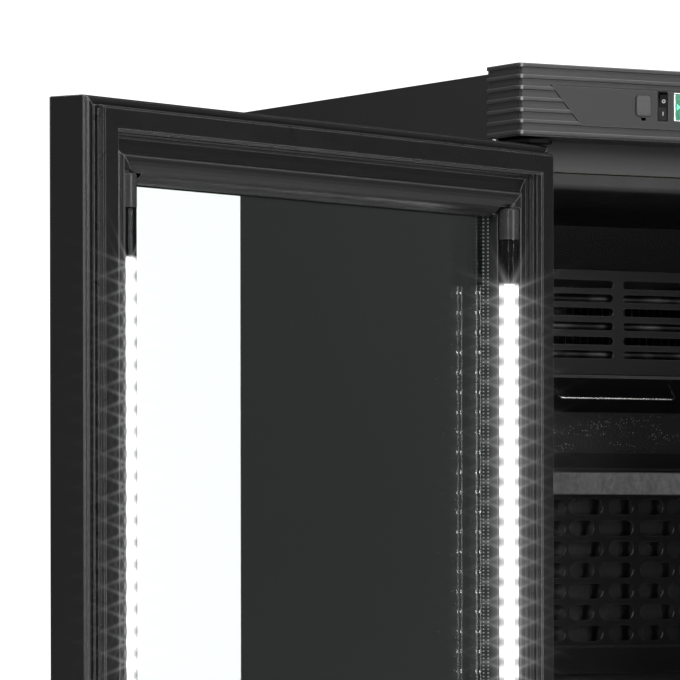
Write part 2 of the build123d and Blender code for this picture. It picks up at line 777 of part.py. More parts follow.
COND_X, COND_Z = 130.0, 122.0   # axis of the condenser and its fan
SHROUD_Y = 158.0
COND_MOTOR_Y = 196.0


def compressor():
    """Hermetic compressor: round shell with a seam, base plate and terminal box."""
    with BuildPart() as unit:
        with BuildSketch(at_y(COMP_Y)):
            with BuildLine():
                Polyline(*[(COMP_X + radius, z) for radius, z in COMP_SHELL], close=True)
            make_face()
        revolve(axis=Axis((COMP_X, COMP_Y, 0), (0, 0, 1)), revolution_arc=360)
        with BuildSketch(at_z(46.0)):
            with Locations((COMP_X, COMP_Y)):
                RectangleRounded(176, 112, 12)
                with Locations(*COMP_FEET):
                    Circle(6.0, mode=Mode.SUBTRACT)
        extrude(amount=4.5)
        with BuildSketch(at_y(COMP_Y - 58)):
            with Locations((COMP_X, 122)):
                RectangleRounded(44, 52, 4)
        extrude(amount=14)
    return unit.part


def compressor_mounts():
    """Rubber mounts between the compressor plate and the pan, with a neck through the plate."""
    spots = [(COMP_X + x, COMP_Y + y) for x, y in COMP_FEET]
    with BuildPart() as mounts:
        for z, radius, height in ((32.1, 10.0, 13.8), (45.0, 5.7, 9.0)):
            with BuildSketch(at_z(z)):
                with Locations(*spots):
                    Circle(radius)
            extrude(amount=height)
    return mounts.part


def condenser_coil():
    """Finned block with two rows of tubes between two end plates."""
    with BuildPart() as coil:
        for i in range(46):
            with BuildSketch(at_x(COND_X - 78 + i * 3.4)):
                with Locations((132, COND_Z)):
                    Rectangle(42, 150)
            extrude(amount=0.4)
        for y in (121.0, 143.0):
            for i in range(6):
                with BuildSketch(at_x(COND_X - 82)):
                    with Locations((y, COND_Z - 62.5 + i * 25.0)):
                        Circle(4.0)
                extrude(amount=164)
        for x in (COND_X - 80, COND_X + 78.8):
            with BuildSketch(at_x(x)):
                with Locations((132, COND_Z - 6)):
                    Rectangle(46, 166)
            extrude(amount=1.2)
    return coil.part


def condenser_fan_motor():
    """Shroud plate and ring, motor, cross arms, four posts and the shaft."""
    centre = (COND_X, COND_Z)
    plate_w, plate_h, plate_t = 158, 152, 1.5
    opening_r = 68
    post_x, post_z = 76.0, 73.0
    with BuildPart() as housing:
        with BuildSketch(at_y(SHROUD_Y)):
            with Locations(centre):
                Rectangle(plate_w, plate_h)
                Circle(opening_r, mode=Mode.SUBTRACT)
        extrude(amount=-plate_t)
        with BuildSketch(at_y(SHROUD_Y)):
            with Locations(centre):
                Circle(opening_r + 2)
                Circle(opening_r, mode=Mode.SUBTRACT)
        extrude(amount=-32)
        with BuildSketch(at_y(COND_MOTOR_Y)):
            with Locations(centre):
                Circle(27)
        extrude(amount=-42)
        with BuildSketch(at_y(COND_MOTOR_Y)):
            with Locations(centre):
                Rectangle(plate_w, 9)
                Rectangle(9, plate_h)
        extrude(amount=-3)
        with BuildSketch(at_y(SHROUD_Y + plate_t)):
            with Locations(
                (COND_X - post_x, COND_Z), (COND_X + post_x, COND_Z),
                (COND_X, COND_Z - post_z), (COND_X, COND_Z + post_z),
            ):
                Rectangle(5, 5)
        extrude(amount=-38)
        with BuildSketch(at_y(COND_MOTOR_Y)):
            with Locations(centre):
                Circle(3.0)
        extrude(amount=24)
    return housing.part


def condenser_fan():
    centre = (COND_X, SHROUD_Y + 10, COND_Z)
    return fan_wheel(centre, tip_r=60.0, hub_r=17.0, hub_len=18.0, bore_r=3.05)


def evaporation_pan():
    """Condensate pan over the compressor, open at the top."""
    bottom, wall = 202.0, 2
    length, width, corner_r = 200, 120, 12
    with BuildPart() as pan:
        with BuildSketch(at_z(bottom)):
            with Locations((-140, 178)):
                RectangleRounded(length, width, corner_r)
        extrude(amount=26)
        with BuildSketch(at_z(bottom + wall)):
            with Locations((-140, 178)):
                RectangleRounded(length - 2 * wall, width - 2 * wall, corner_r - wall)
        extrude(amount=30, mode=Mode.SUBTRACT)
    return pan.part


def filter_drier():
    """Filter drier, an upright can narrowed at both ends."""
    axis_x, axis_y = -10, 130
    # half-section as (radius, z)
    outline = [(0, 60), (3.2, 60), (3.2, 72), (11, 82), (11, 150), (3.2, 160), (3.2, 172), (0, 172)]
    with BuildPart() as drier:
        with BuildSketch(at_y(axis_y)):
            with BuildLine():
                Polyline(*[(axis_x + radius, z) for radius, z in outline], close=True)
            make_face()
        revolve(axis=Axis((axis_x, axis_y, 0), (0, 0, 1)), revolution_arc=360)
    return drier.part


def refrigerant_lines():
    """Copper lines: compressor to condenser, condenser to drier, and one rising off the shell."""
    discharge = [
        (-64, 200, 90), (-30, 200, 90), (-30, 200, 45), (28, 200, 45),
        (28, 143, 45), (28, 143, 59.5), (47, 143, 59.5),
    ]
    liquid = [
        (47, 121, 184.5), (10, 121, 184.5), (10, 130, 210), (-10, 130, 210), (-10, 130, 173),
    ]
    suction = [(-64, 168, 150), (-22, 168, 150), (-22, 168, 244)]
    with BuildPart() as lines:
        add(tube(discharge, radius=3.0, bend=7))
        add(tube(liquid, radius=3.0, bend=4))
        add(tube(suction, radius=4.0, bend=9))
    return lines.part


def levelling_foot(x, y):
    """Foot: round pad with a cone, hexagon and stem, stacked from the floor up."""
    with BuildPart() as foot:
        with BuildSketch(Plane.XY):
            with Locations((x, y)):
                Circle(19)
        extrude(amount=4)
        with BuildSketch(at_z(4)):
            with Locations((x, y)):
                Circle(19)
        extrude(amount=9, taper=28)
        with BuildSketch(at_z(13)):
            with Locations((x, y)):
                RegularPolygon(9, 6)
        extrude(amount=5)
        with BuildSketch(at_z(18)):
            with Locations((x, y)):
                Circle(5.0)
        extrude(amount=35)
        chamfer(foot.edges().filter_by(GeomType.CIRCLE).group_by(Axis.Z)[-1], 0.8)
        chamfer(foot.edges().filter_by(GeomType.CIRCLE).group_by(Axis.Z)[0], 0.8)
    return foot.part


# ---------------------------------------------------------------- hinges on the cabinet
BRACKET_X0, BRACKET_X1 = -295.4, -262.0
BRACKET_T = 3
BRACKET_LEAF_H = 51
LEAF_Y = -211.7           # back of the bracket leaf, against the casing
SCREW_Y = -214.8          # back of the screw heads
SCREW_HEAD_T = 2.4
TOP_SCREWS = [(-292, 800), (-270, 800), (-281, 825)]      # (x, z)
BOTTOM_SCREWS = [(-292, 76), (-270, 76), (-281, 50)]


def hinge_bracket(plate_z, leaf_z, pin_z, pin_tip, screws):
    """Angle bracket with a pin: each z is a lower limit, pin_tip the group of its tip edges."""
    with BuildPart() as bracket:
        with BuildSketch(at_z(plate_z)):
            with BuildLine():
                Polyline(
                    (BRACKET_X0, LEAF_Y), (BRACKET_X0, -250.0), (BRACKET_X0 + 6, -256.0),
                    (BRACKET_X1 - 9, -256.0), (BRACKET_X1, -247.0), (BRACKET_X1, LEAF_Y),
                    close=True,
                )
            make_face()
        extrude(amount=BRACKET_T)
        with BuildSketch(at_y(LEAF_Y)):
            rect_from(BRACKET_X0, BRACKET_X1, leaf_z, leaf_z + BRACKET_LEAF_H)
        extrude(amount=BRACKET_T)
        with BuildSketch(at_z(pin_z)):
            with Locations((HINGE_X, HINGE_Y)):
                Circle(PIN_R)
        extrude(amount=15)
        chamfer(bracket.edges().filter_by(GeomType.CIRCLE).group_by(Axis.Z)[pin_tip], 0.6)
        with BuildSketch(at_y(-220)):
            with Locations(*screws):
                Circle(2.6)
        extrude(amount=-10, mode=Mode.SUBTRACT)
    return bracket.part


def hinge_bracket_top():
    return hinge_bracket(784.0, leaf_z=784.0, pin_z=771.0, pin_tip=0, screws=TOP_SCREWS)


def hinge_bracket_bottom():
    return hinge_bracket(87.0, leaf_z=39.0, pin_z=88.0, pin_tip=-1, screws=BOTTOM_SCREWS)


def hinge_screws():
    """Cross-recessed screws of both brackets."""
    spots = TOP_SCREWS + BOTTOM_SCREWS
    with BuildPart() as screws:
        for radius, amount in ((4.2, SCREW_HEAD_T), (2.3, -3.0)):
            with BuildSketch(at_y(SCREW_Y)):
                with Locations(*spots):
                    Circle(radius)
            extrude(amount=amount)
        with BuildSketch(at_y(SCREW_Y - SCREW_HEAD_T - 0.1)):
            with Locations(*spots):
                Rectangle(4.4, 0.9)
                Rectangle(0.9, 4.4)
        extrude(amount=-1.2, mode=Mode.SUBTRACT)
    return screws.part


# ---------------------------------------------------------------- door (built closed)
SIGHT = 62.0              # frame width seen from outside
GLASS_INSET = 50.5        # door edge to glass edge
GLASS_X = DOOR_X - GLASS_INSET
GLASS_ZB, GLASS_ZT = DOOR_ZB + GLASS_INSET, DOOR_ZT - GLASS_INSET
PANE_T = 4.0

LED_CAP_ZT, LED_CAP_ZB = 727.0, 701.0     # top end cap of a lamp bar
LED_LOW_ZT, LED_LOW_ZB = 204.0, 176.0     # bottom end cap
LED_PITCH = 16.667
LED_TOP_Z = 657.8         # centre of the first lamp below the top cap
LED_COUNT = 27

# Sections as (u, v): u from the outer edge of the door towards the glass, v from its outer face in.
ROLL = [
    (43.6 + 18.4 * math.cos(math.radians(a)), 19.2 + 18.6 * math.sin(math.radians(a)))
    for a in range(0, 90, 9)
]
FRAME = [
    (0, 2.4), (0.7, 0.7), (2.4, 0), (59.6, 0), (61.2, 0.5), (SIGHT, 1.6),
    (SIGHT, 2.5), (50, 2.5), (50, 18.5), (SIGHT, 18.5),
] + ROLL + [
    (43.6, 37.9), (42.6, 38.3), (41.8, 37.9), (41.5, 36.8), (40.2, 35.4), (38.0, 34.6),
    (32.4, 33.4), (29.6, 33.2), (28.4, 34.2), (27.4, 36.4), (26.6, 37.0), (3.6, 37.0),
    (1.6, 36.4), (0.5, 35.2), (0, 33.4),
]
GASKET = [
    (7.0, 37.1), (25.6, 37.1), (25.6, 38.6), (23.2, 39.6), (22.2, 41.0), (23.2, 42.4),
    (25.4, 43.0), (26.0, 44.6), (25.6, 46.6), (24.2, 47.6), (9.6, 47.6), (8.2, 46.6),
    (7.4, 44.6), (7.8, 43.0), (9.8, 42.4), (10.8, 41.0), (9.8, 39.6), (7.0, 38.6),
]
LAMP_SEAT = [(44.0, 36.7), (44.4, 36.4), (58.9, 26.6), (68, 26.6), (68, 46), (44.0, 46)]

# Section planes at the start of the four sides of the frame.
HINGE_PLANE = Plane(origin=(-DOOR_X, DOOR_Y, DOOR_ZB), x_dir=(1, 0, 0), z_dir=(0, 0, 1))
FREE_PLANE = Plane(origin=(DOOR_X, DOOR_Y, DOOR_ZT), x_dir=(-1, 0, 0), z_dir=(0, 0, -1))
TOP_PLANE = Plane(origin=(-DOOR_X, DOOR_Y, DOOR_ZT), x_dir=(0, 0, -1), z_dir=(1, 0, 0))
LOW_PLANE = Plane(origin=(DOOR_X, DOOR_Y, DOOR_ZB), x_dir=(0, 0, 1), z_dir=(-1, 0, 0))


def mitre(side, end):
    """Mitre plane through a door corner; its normal points away from the stile."""
    diagonal = math.sqrt(0.5)
    corner = (side * DOOR_X, 0, DOOR_ZT if end > 0 else DOOR_ZB)
    return Plane(origin=corner, z_dir=(-side * diagonal, 0, end * diagonal))


HINGE_TOP, HINGE_LOW = mitre(-1, 1), mitre(-1, -1)
FREE_TOP, FREE_LOW = mitre(1, 1), mitre(1, -1)

# Each side of the door: section plane, length, its two mitres and the side of them to keep.
HINGE_SIDE = (HINGE_PLANE, DOOR_H, (HINGE_TOP, HINGE_LOW), Keep.BOTTOM)
FREE_SIDE = (FREE_PLANE, DOOR_H, (FREE_TOP, FREE_LOW), Keep.BOTTOM)
TOP_SIDE = (TOP_PLANE, DOOR_W, (HINGE_TOP, FREE_TOP), Keep.TOP)
LOW_SIDE = (LOW_PLANE, DOOR_W, (HINGE_LOW, FREE_LOW), Keep.TOP)

# Lowest z of the bush pockets.
LOW_POCKET_Z, TOP_POCKET_Z = DOOR_ZB - 1, DOOR_ZT - BUSH_H - 0.1

PULL_X, PULL_Z = DOOR_X - 33.5, 437.0     # centre of the finger pull


def lamp_seat(plane, start):
    """Cutter for the slanted seat of a lamp bar along a stile."""
    with BuildPart() as cutter:
        with BuildSketch(plane.offset(start)):
            with BuildLine():
                Polyline(*LAMP_SEAT, close=True)
            make_face()
        extrude(amount=LED_CAP_ZT - LED_LOW_ZB + 1.0)
    return cutter.part


def hinge_seat():
    return lamp_seat(HINGE_PLANE, LED_LOW_ZB - 0.5 - DOOR_ZB)


def free_seat():
    return lamp_seat(FREE_PLANE, DOOR_ZT - LED_CAP_ZT - 0.5)


def bush_pocket(z):
    """Cutter for the pocket of a hinge bush."""
    with BuildPart() as cutter:
        with BuildSketch(at_z(z)):
            with Locations((HINGE_X, HINGE_Y)):
                Circle(BUSH_R)
        extrude(amount=BUSH_H + 1.1)
    return cutter.part


def pull_recess():
    """Cutter for the finger-pull recess in the outer face of the free stile."""
    with BuildPart() as cutter:
        with BuildSketch(at_y(DOOR_Y - 1)):
            with Locations((PULL_X, PULL_Z)):
                RectangleRounded(22, 120, 8)
        extrude(amount=-8)
    return cutter.part


def mitred_run(outline, door_side, chambered=False):
    """One side of the door in a given section, mitred at both ends."""
    plane, length, mitres, keep = door_side
    with BuildPart() as run:
        with BuildSketch(plane):
            with BuildLine():
                Polyline(*outline, close=True)
            make_face()
            if chambered:
                with Locations((33.5, 16.5)):
                    Rectangle(25, 23, mode=Mode.SUBTRACT)
        extrude(amount=length)
        for mitre_plane in mitres:
            split(bisect_by=mitre_plane, keep=keep)
    return run.part


def frame_member(door_side, cutters):
    """Frame extrusion of one side, with cutters taken out of it in turn."""
    with BuildPart() as member:
        add(mitred_run(FRAME, door_side, chambered=True))
        for cutter in cutters:
            add(cutter, mode=Mode.SUBTRACT)
    return member.part


def door_hinge_stile():
    cutters = [hinge_seat(), bush_pocket(LOW_POCKET_Z), bush_pocket(TOP_POCKET_Z)]
    return frame_member(HINGE_SIDE, cutters)


def door_free_stile():
    return frame_member(FREE_SIDE, [free_seat(), pull_recess()])


def door_top_rail():
    return frame_member(TOP_SIDE, [bush_pocket(TOP_POCKET_Z), hinge_seat(), free_seat()])


def door_bottom_rail():
    return frame_member(LOW_SIDE, [bush_pocket(LOW_POCKET_Z), hinge_seat(), free_seat()])


def door_pull():
    """Moulded finger cup in the outer face of the free stile."""
    rim_t = 0.8
    with BuildPart() as pull:
        with BuildSketch(at_y(DOOR_Y - rim_t)):
            with Locations((PULL_X, PULL_Z)):
                RectangleRounded(28, 126, 11)
        extrude(amount=-rim_t)
        with BuildSketch(at_y(DOOR_Y)):
            with Locations((PULL_X, PULL_Z)):
                RectangleRounded(21.6, 119.6, 7.8)
        extrude(amount=-24)
        with BuildSketch(at_y(DOOR_Y - rim_t)):
            with Locations((PULL_X, PULL_Z)):
                RectangleRounded(18.4, 116.4, 6.5)
        extrude(amount=-23, mode=Mode.SUBTRACT)
    return pull.part


def hinge_bushes():
    """Bushes that turn on the hinge pins."""
    with BuildPart() as bushes:
        for z in (DOOR_ZB, DOOR_ZT - BUSH_H):
            with BuildSketch(at_z(z)):
                with Locations((HINGE_X, HINGE_Y)):
                    Circle(BUSH_R - 0.03)
                    Circle(PIN_R + 0.05, mode=Mode.SUBTRACT)
            extrude(amount=BUSH_H)
    return bushes.part


def glass_pane(depth):
    """Pane whose outer face lies a depth behind the door's outer face."""
    with BuildPart() as pane:
        with BuildSketch(at_y(DOOR_Y + depth)):
            centred_rect(2 * GLASS_X, GLASS_ZB, GLASS_ZT)
        extrude(amount=-PANE_T)
    return pane.part


def outer_glass():
    return glass_pane(2.6)


def inner_glass():
    return glass_pane(14.4)


def glass_spacer():
    """Spacer ring between the panes."""
    outer_inset, inner_inset = 0.5, 7.5
    with BuildPart() as spacer:
        with BuildSketch(at_y(DOOR_Y + 6.65)):
            for inset, mode in ((outer_inset, Mode.ADD), (inner_inset, Mode.SUBTRACT)):
                centred_rect(2 * (GLASS_X - inset), GLASS_ZB + inset, GLASS_ZT - inset, mode)
        extrude(amount=-7.7)
    return spacer.part


def door_gasket():
    """Bellows gasket, four mitred runs joined into one ring."""
    with BuildPart() as gasket:
        for door_side in (HINGE_SIDE, FREE_SIDE, TOP_SIDE, LOW_SIDE):
            add(mitred_run(GASKET, door_side))
    return gasket.part


# Lamp bars on both stiles, drawn on the hinge stile and mirrored. In this plane x runs across the
# slanted seat and y stands off it.
LED_PLANE = Plane(
    origin=(-DOOR_X + 51.65, DOOR_Y + 31.5, 0), x_dir=(0.8288, -0.5596, 0), z_dir=(0, 0, 1)
)


def trim_below_seat():
    """Removes the part of a lens or cap section that lies below the seat."""
    centred_rect(30, -9.85, 0.15, Mode.SUBTRACT)


def led_carriers():
    with BuildPart() as carriers:
        with BuildSketch(LED_PLANE.offset(LED_LOW_ZT + 0.2)):
            with Locations((0, 0.8)):
                Rectangle(14.0, 1.2)
        extrude(amount=LED_CAP_ZB - LED_LOW_ZT - 0.4)
        mirror(about=Plane.YZ)
    return carriers.part


def led_boards():
    with BuildPart() as boards:
        with BuildSketch(LED_PLANE.offset(LED_LOW_ZT + 4)):
            with Locations((0, 1.9)):
                Rectangle(8.0, 0.9)
        extrude(amount=LED_TOP_Z + 6.0 - LED_LOW_ZT - 4)
        mirror(about=Plane.YZ)
    return boards.part


def led_chips():
    chip_h = 3.5
    with BuildPart() as chips:
        for i in range(LED_COUNT):
            with BuildSketch(LED_PLANE.offset(LED_TOP_Z - i * LED_PITCH - chip_h / 2)):
                with Locations((0, 2.85)):
                    Rectangle(2.8, 0.9)
            extrude(amount=chip_h)
        mirror(about=Plane.YZ)
    return chips.part


def led_lenses():
    """Hollow half-round covers between the end caps."""
    with BuildPart() as lenses:
        with BuildSketch(LED_PLANE.offset(LED_LOW_ZT + 0.1)):
            Ellipse(8.5, 8.4)
            Ellipse(7.4, 7.3, mode=Mode.SUBTRACT)
            trim_below_seat()
        extrude(amount=LED_CAP_ZB - LED_LOW_ZT - 0.2)
        mirror(about=Plane.YZ)
    return lenses.part


def led_end_caps():
    """Solid half-round caps at both ends of each bar, each rounded at its upper rim."""
    with BuildPart() as caps:
        for bottom, top in ((LED_CAP_ZB, LED_CAP_ZT), (LED_LOW_ZB, LED_LOW_ZT)):
            with BuildSketch(LED_PLANE.offset(bottom)):
                Ellipse(8.7, 8.6)
                trim_below_seat()
            extrude(amount=top - bottom)
        # bottom cap: its lower rim is the outer one
        upper_and_lower = (LED_CAP_ZT, LED_LOW_ZB)
        outer_rims = [
            edge for edge in caps.edges().filter_by(GeomType.ELLIPSE)
            if min(abs(edge.center().Z - z) for z in upper_and_lower) < 0.1
        ]
        fillet(outer_rims, 2.0)
        mirror(about=Plane.YZ)
    return caps.part


# ---------------------------------------------------------------- build and export
# A piece is named after the function that builds it.
CABINET_PIECES = [
    outer_casing, insulation_foam, inner_liner, breaker_trim, back_panel, base_pan, kick_grille,
    rear_grille, header_cover, control_panel, blank_cap, switch_housing, rocker, display_bezel,
    display_cell, control_board, header_screws, evaporator_cover, evaporator_coil,
    evaporator_fan_motor, evaporator_fan, drip_tray, probe_guard, duct_panel, pilasters,
    shelf_clips, compressor, compressor_mounts, condenser_coil, condenser_fan_motor,
    condenser_fan, evaporation_pan, filter_drier, refrigerant_lines, hinge_bracket_top,
    hinge_bracket_bottom, hinge_screws,
]
DOOR_PIECES = [
    door_hinge_stile, door_free_stile, door_top_rail, door_bottom_rail, door_pull, hinge_bushes,
    outer_glass, inner_glass, glass_spacer, door_gasket, led_carriers, led_boards, led_chips,
    led_lenses, led_end_caps,
]

for build in CABINET_PIECES:
    save(build.__name__, build())

for place, shelf_z in SHELF_ZS.items():
    save(f"shelf_{place}", wire_shelf(shelf_z))
    save(f"price_rail_{place}", price_rail(shelf_z))

for place, (x, y) in zip(("front_left", "rear_left", "front_right", "rear_right"), FOOT_SPOTS):
    save(f"foot_{place}", levelling_foot(x, y))

for build in DOOR_PIECES:
    save(build.__name__, opened(build()))
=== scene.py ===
import json
import math
import random

import bmesh
import bpy
from mathutils import Matrix, Vector


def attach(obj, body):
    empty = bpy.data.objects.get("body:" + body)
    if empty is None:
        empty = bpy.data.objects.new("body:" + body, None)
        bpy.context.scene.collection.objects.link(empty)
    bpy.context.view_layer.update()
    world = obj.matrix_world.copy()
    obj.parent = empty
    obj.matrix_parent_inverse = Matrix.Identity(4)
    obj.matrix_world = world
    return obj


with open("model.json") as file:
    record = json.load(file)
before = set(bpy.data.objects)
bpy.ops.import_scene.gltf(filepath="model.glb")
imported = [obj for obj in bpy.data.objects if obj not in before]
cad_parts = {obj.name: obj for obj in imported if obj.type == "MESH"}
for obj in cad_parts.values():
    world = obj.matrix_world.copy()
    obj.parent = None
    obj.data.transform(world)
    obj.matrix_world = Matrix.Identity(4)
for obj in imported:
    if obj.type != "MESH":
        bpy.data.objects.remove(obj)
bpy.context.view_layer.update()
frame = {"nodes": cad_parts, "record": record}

random.seed(7)
scene = bpy.context.scene
NODES = frame["nodes"]

HX, HY, OPEN = -0.287, -0.241, math.radians(155.6)
TO_OPEN = Matrix.Translation((HX, HY, 0)) @ Matrix.Rotation(-OPEN, 4, "Z") @ Matrix.Translation((-HX, -HY, 0))


# ---------------------------------------------------------------- materials
def lin(*srgb):
    out = []
    for c in srgb:
        c = c / 255.0
        out.append(c / 12.92 if c <= 0.04045 else ((c + 0.055) / 1.055) ** 2.4)
    return out if len(out) == 3 else [out[0]] * 3


class Mat:
    """A principled material with helpers that chain procedural detail in object space (metres)."""

    def __init__(self, name, color, rough=0.5, metallic=0.0, **extra):
        self.m = bpy.data.materials.new(name)
        self.m.use_nodes = True
        self.t = self.m.node_tree
        self.t.nodes.clear()
        self.out = self.t.nodes.new("ShaderNodeOutputMaterial")
        self.b = self.t.nodes.new("ShaderNodeBsdfPrincipled")
        self.t.links.new(self.b.outputs[0], self.out.inputs[0])
        self.co = self.t.nodes.new("ShaderNodeTexCoord").outputs["Object"]
        self.color = list(color)
        self.b.inputs["Base Color"].default_value = (*color, 1)
        self.b.inputs["Roughness"].default_value = rough
        self.b.inputs["Metallic"].default_value = metallic
        self.rough = rough
        self.normal = None
        for k, v in extra.items():
            self.b.inputs[k].default_value = v

    def new(self, kind, **values):
        n = self.t.nodes.new(kind)
        for k, v in values.items():
            if hasattr(n, k):
                setattr(n, k, v)
            else:
                n.inputs[k.replace("_", " ")].default_value = v
        return n

    def link(self, a, b):
        self.t.links.new(a, b)

    def mapped(self, scale):
        n = self.new("ShaderNodeMapping")
        n.inputs["Scale"].default_value = scale
        self.link(self.co, n.inputs["Vector"])
        return n.outputs[0]

    def noise(self, scale, detail=3.0, rough=0.5, vec=None):
        n = self.new("ShaderNodeTexNoise")
        n.inputs["Scale"].default_value = scale
        n.inputs["Detail"].default_value = detail
        n.inputs["Roughness"].default_value = rough
        self.link(vec or self.co, n.inputs["Vector"])
        return n.outputs["Fac"]

    def cells(self, scale, vec=None, out="Distance"):
        n = self.new("ShaderNodeTexVoronoi")
        n.inputs["Scale"].default_value = scale
        self.link(vec or self.co, n.inputs["Vector"])
        return n.outputs[out]

    def span(self, value, a, b, lo, hi):
        n = self.new("ShaderNodeMapRange")
        for i, v in zip((1, 2, 3, 4), (a, b, lo, hi)):
            n.inputs[i].default_value = v
        self.link(value, n.inputs[0])
        return n.outputs[0]

    def bump(self, height, strength, distance=0.0005):
        n = self.new("ShaderNodeBump")
        n.inputs["Strength"].default_value = strength
        n.inputs["Distance"].default_value = distance
        self.link(height, n.inputs["Height"])
        if self.normal is not None:
            self.link(self.normal, n.inputs["Normal"])
        self.normal = n.outputs[0]
        self.link(self.normal, self.b.inputs["Normal"])
        return self

    def roughness(self, value, lo, hi, a=0.3, b=0.7):
        self.link(self.span(value, a, b, lo, hi), self.b.inputs["Roughness"])
        return self

    def tint(self, value, dark, light, a=0.3, b=0.7):
        n = self.new("ShaderNodeMix")
        n.data_type = "RGBA"
        n.inputs["A"].default_value = (*dark, 1)
        n.inputs["B"].default_value = (*light, 1)
        self.link(self.span(value, a, b, 0, 1), n.inputs["Factor"])
        self.last = n.outputs["Result"]
        self.link(self.last, self.b.inputs["Base Color"])
        return self

    def edge_highlight(self, light, amount=0.6):
        """Painted highlight: lighter colour along convex edges."""
        g = self.new("ShaderNodeNewGeometry")
        bev = self.new("ShaderNodeBevel")
        bev.samples = 4
        bev.inputs["Radius"].default_value = 0.0012
        dot = self.new("ShaderNodeVectorMath", operation="DOT_PRODUCT")
        self.link(g.outputs["Normal"], dot.inputs[0])
        self.link(bev.outputs[0], dot.inputs[1])
        highlight_mask = self.span(dot.outputs["Value"], 0.80, 0.97, amount, 0.0)
        n = self.new("ShaderNodeMix")
        n.data_type = "RGBA"
        n.inputs["B"].default_value = (*light, 1)
        src = getattr(self, "last", None)
        if src is not None:
            self.link(src, n.inputs["A"])
        else:
            n.inputs["A"].default_value = (*self.color, 1)
        self.link(highlight_mask, n.inputs["Factor"])
        self.last = n.outputs["Result"]
        self.link(self.last, self.b.inputs["Base Color"])
        return self

    def crevice_shade(self, dark, distance=0.004, lo=0.35, hi=0.92):
        """Painted shade: darkens grooves and tucked-in folds."""
        ao = self.new("ShaderNodeAmbientOcclusion")
        ao.samples = 8
        ao.inputs["Distance"].default_value = distance
        n = self.new("ShaderNodeMix")
        n.data_type = "RGBA"
        n.inputs["A"].default_value = (*dark, 1)
        self.link(self.last, n.inputs["B"])
        self.link(self.span(ao.outputs["AO"], lo, hi, 0, 1), n.inputs["Factor"])
        self.last = n.outputs["Result"]
        self.link(self.last, self.b.inputs["Base Color"])
        return self

    def soften(self, radius=0.0006):
        """Rounds the shading of hard edges."""
        bev = self.new("ShaderNodeBevel")
        bev.samples = 4
        bev.inputs["Radius"].default_value = radius
        if self.normal is None:
            self.link(bev.outputs[0], self.b.inputs["Normal"])
            self.normal = bev.outputs[0]
        return self

    def clear_shadow(self, tint=(1, 1, 1), amount=1.0):
        """Lets light through for shadow rays, as clear sheet does."""
        path = self.new("ShaderNodeLightPath")
        tr = self.new("ShaderNodeBsdfTransparent")
        tr.inputs[0].default_value = (*tint, 1)
        mix = self.new("ShaderNodeMixShader")
        self.link(path.outputs["Is Shadow Ray"], mix.inputs[0])
        self.link(self.b.outputs[0], mix.inputs[1])
        self.link(tr.outputs[0], mix.inputs[2])
        self.link(mix.outputs[0], self.out.inputs[0])
        return self


# semi-gloss black powder coat on the steel casing: orange peel and faint cloudiness; painted highlight along convex
# edges, and painted light on the front flange, darker just under the header and lighter towards its lower edge
casing = Mat("casing_paint", (0.018, 0.018, 0.0188), 0.38)
casing.soften(0.001)
# random cloudiness, then a painted highlight along convex edges
casing.tint(casing.noise(7, 4), (0.0125, 0.0125, 0.0130), (0.0140, 0.0140, 0.0145)).edge_highlight((0.075, 0.075, 0.078), 0.5)
# painted light and shade: the front flange is darker just under the header and lighter towards its lower edge
place = casing.new("ShaderNodeSeparateXYZ")
casing.link(casing.co, place.inputs[0])
turn = casing.new("ShaderNodeSeparateXYZ")
casing.link(casing.new("ShaderNodeNewGeometry").outputs["Normal"], turn.inputs[0])
amount = casing.span(place.outputs["Z"], 0.785, 0.764, 0, 1)
for extra in (casing.span(turn.outputs["Y"], -0.97, -0.90, 1, 0), casing.span(place.outputs["Z"], 0.757, 0.759, 0, 1)):
    n = casing.new("ShaderNodeMath", operation="MULTIPLY")
    casing.link(amount, n.inputs[0])
    casing.link(extra, n.inputs[1])
    amount = n.outputs[0]
flange_light = casing.new("ShaderNodeMix")
flange_light.data_type = "RGBA"
flange_light.inputs["B"].default_value = (0.070, 0.070, 0.071, 1)
casing.link(casing.last, flange_light.inputs["A"])
casing.link(amount, flange_light.inputs["Factor"])
casing.link(flange_light.outputs["Result"], casing.b.inputs["Base Color"])
casing.roughness(casing.noise(420, 4), 0.37, 0.45).bump(casing.noise(620, 2), 0.10, 0.0004)
casing.bump(casing.noise(2300, 2), 0.06, 0.0002)

# moulded header plastic: fine spark-eroded grain; each rib painted with shade in its step and a highlight on its crest,
# plus a painted highlight along the corner mitre
header = Mat("header_plastic", (0.048, 0.048, 0.049), 0.42)
header.soften(0.0007)
where = header.new("ShaderNodeSeparateXYZ")
header.link(header.co, where.inputs[0])
phase = where.outputs["Z"]
for op, value in (("SUBTRACT", 0.8482), ("DIVIDE", 0.00935), ("ADD", 100.5), ("FRACT", 0)):
    n = header.new("ShaderNodeMath", operation=op)
    header.link(phase, n.inputs[0])
    n.inputs[1].default_value = value
    phase = n.outputs[0]
# painted light and shade per rib: near-black shade under each crest, a bright highlight on the crest
ramp = header.new("ShaderNodeValToRGB")
e = ramp.color_ramp.elements
e[0].position, e[0].color = 0.0, (0.024, 0.024, 0.0245, 1)
e[1].position, e[1].color = 1.0, (0.026, 0.026, 0.0265, 1)
for pos, c in ((0.06, 0.020), (0.11, 0.0015), (0.31, 0.0015), (0.34, 0.034), (0.56, 0.046), (0.62, 0.15), (0.675, 0.12), (0.70, 0.026)):
    k = e.new(pos)
    k.color = (c, c, c * 1.01, 1)
header.link(phase, ramp.inputs[0])
header.last = ramp.outputs[0]
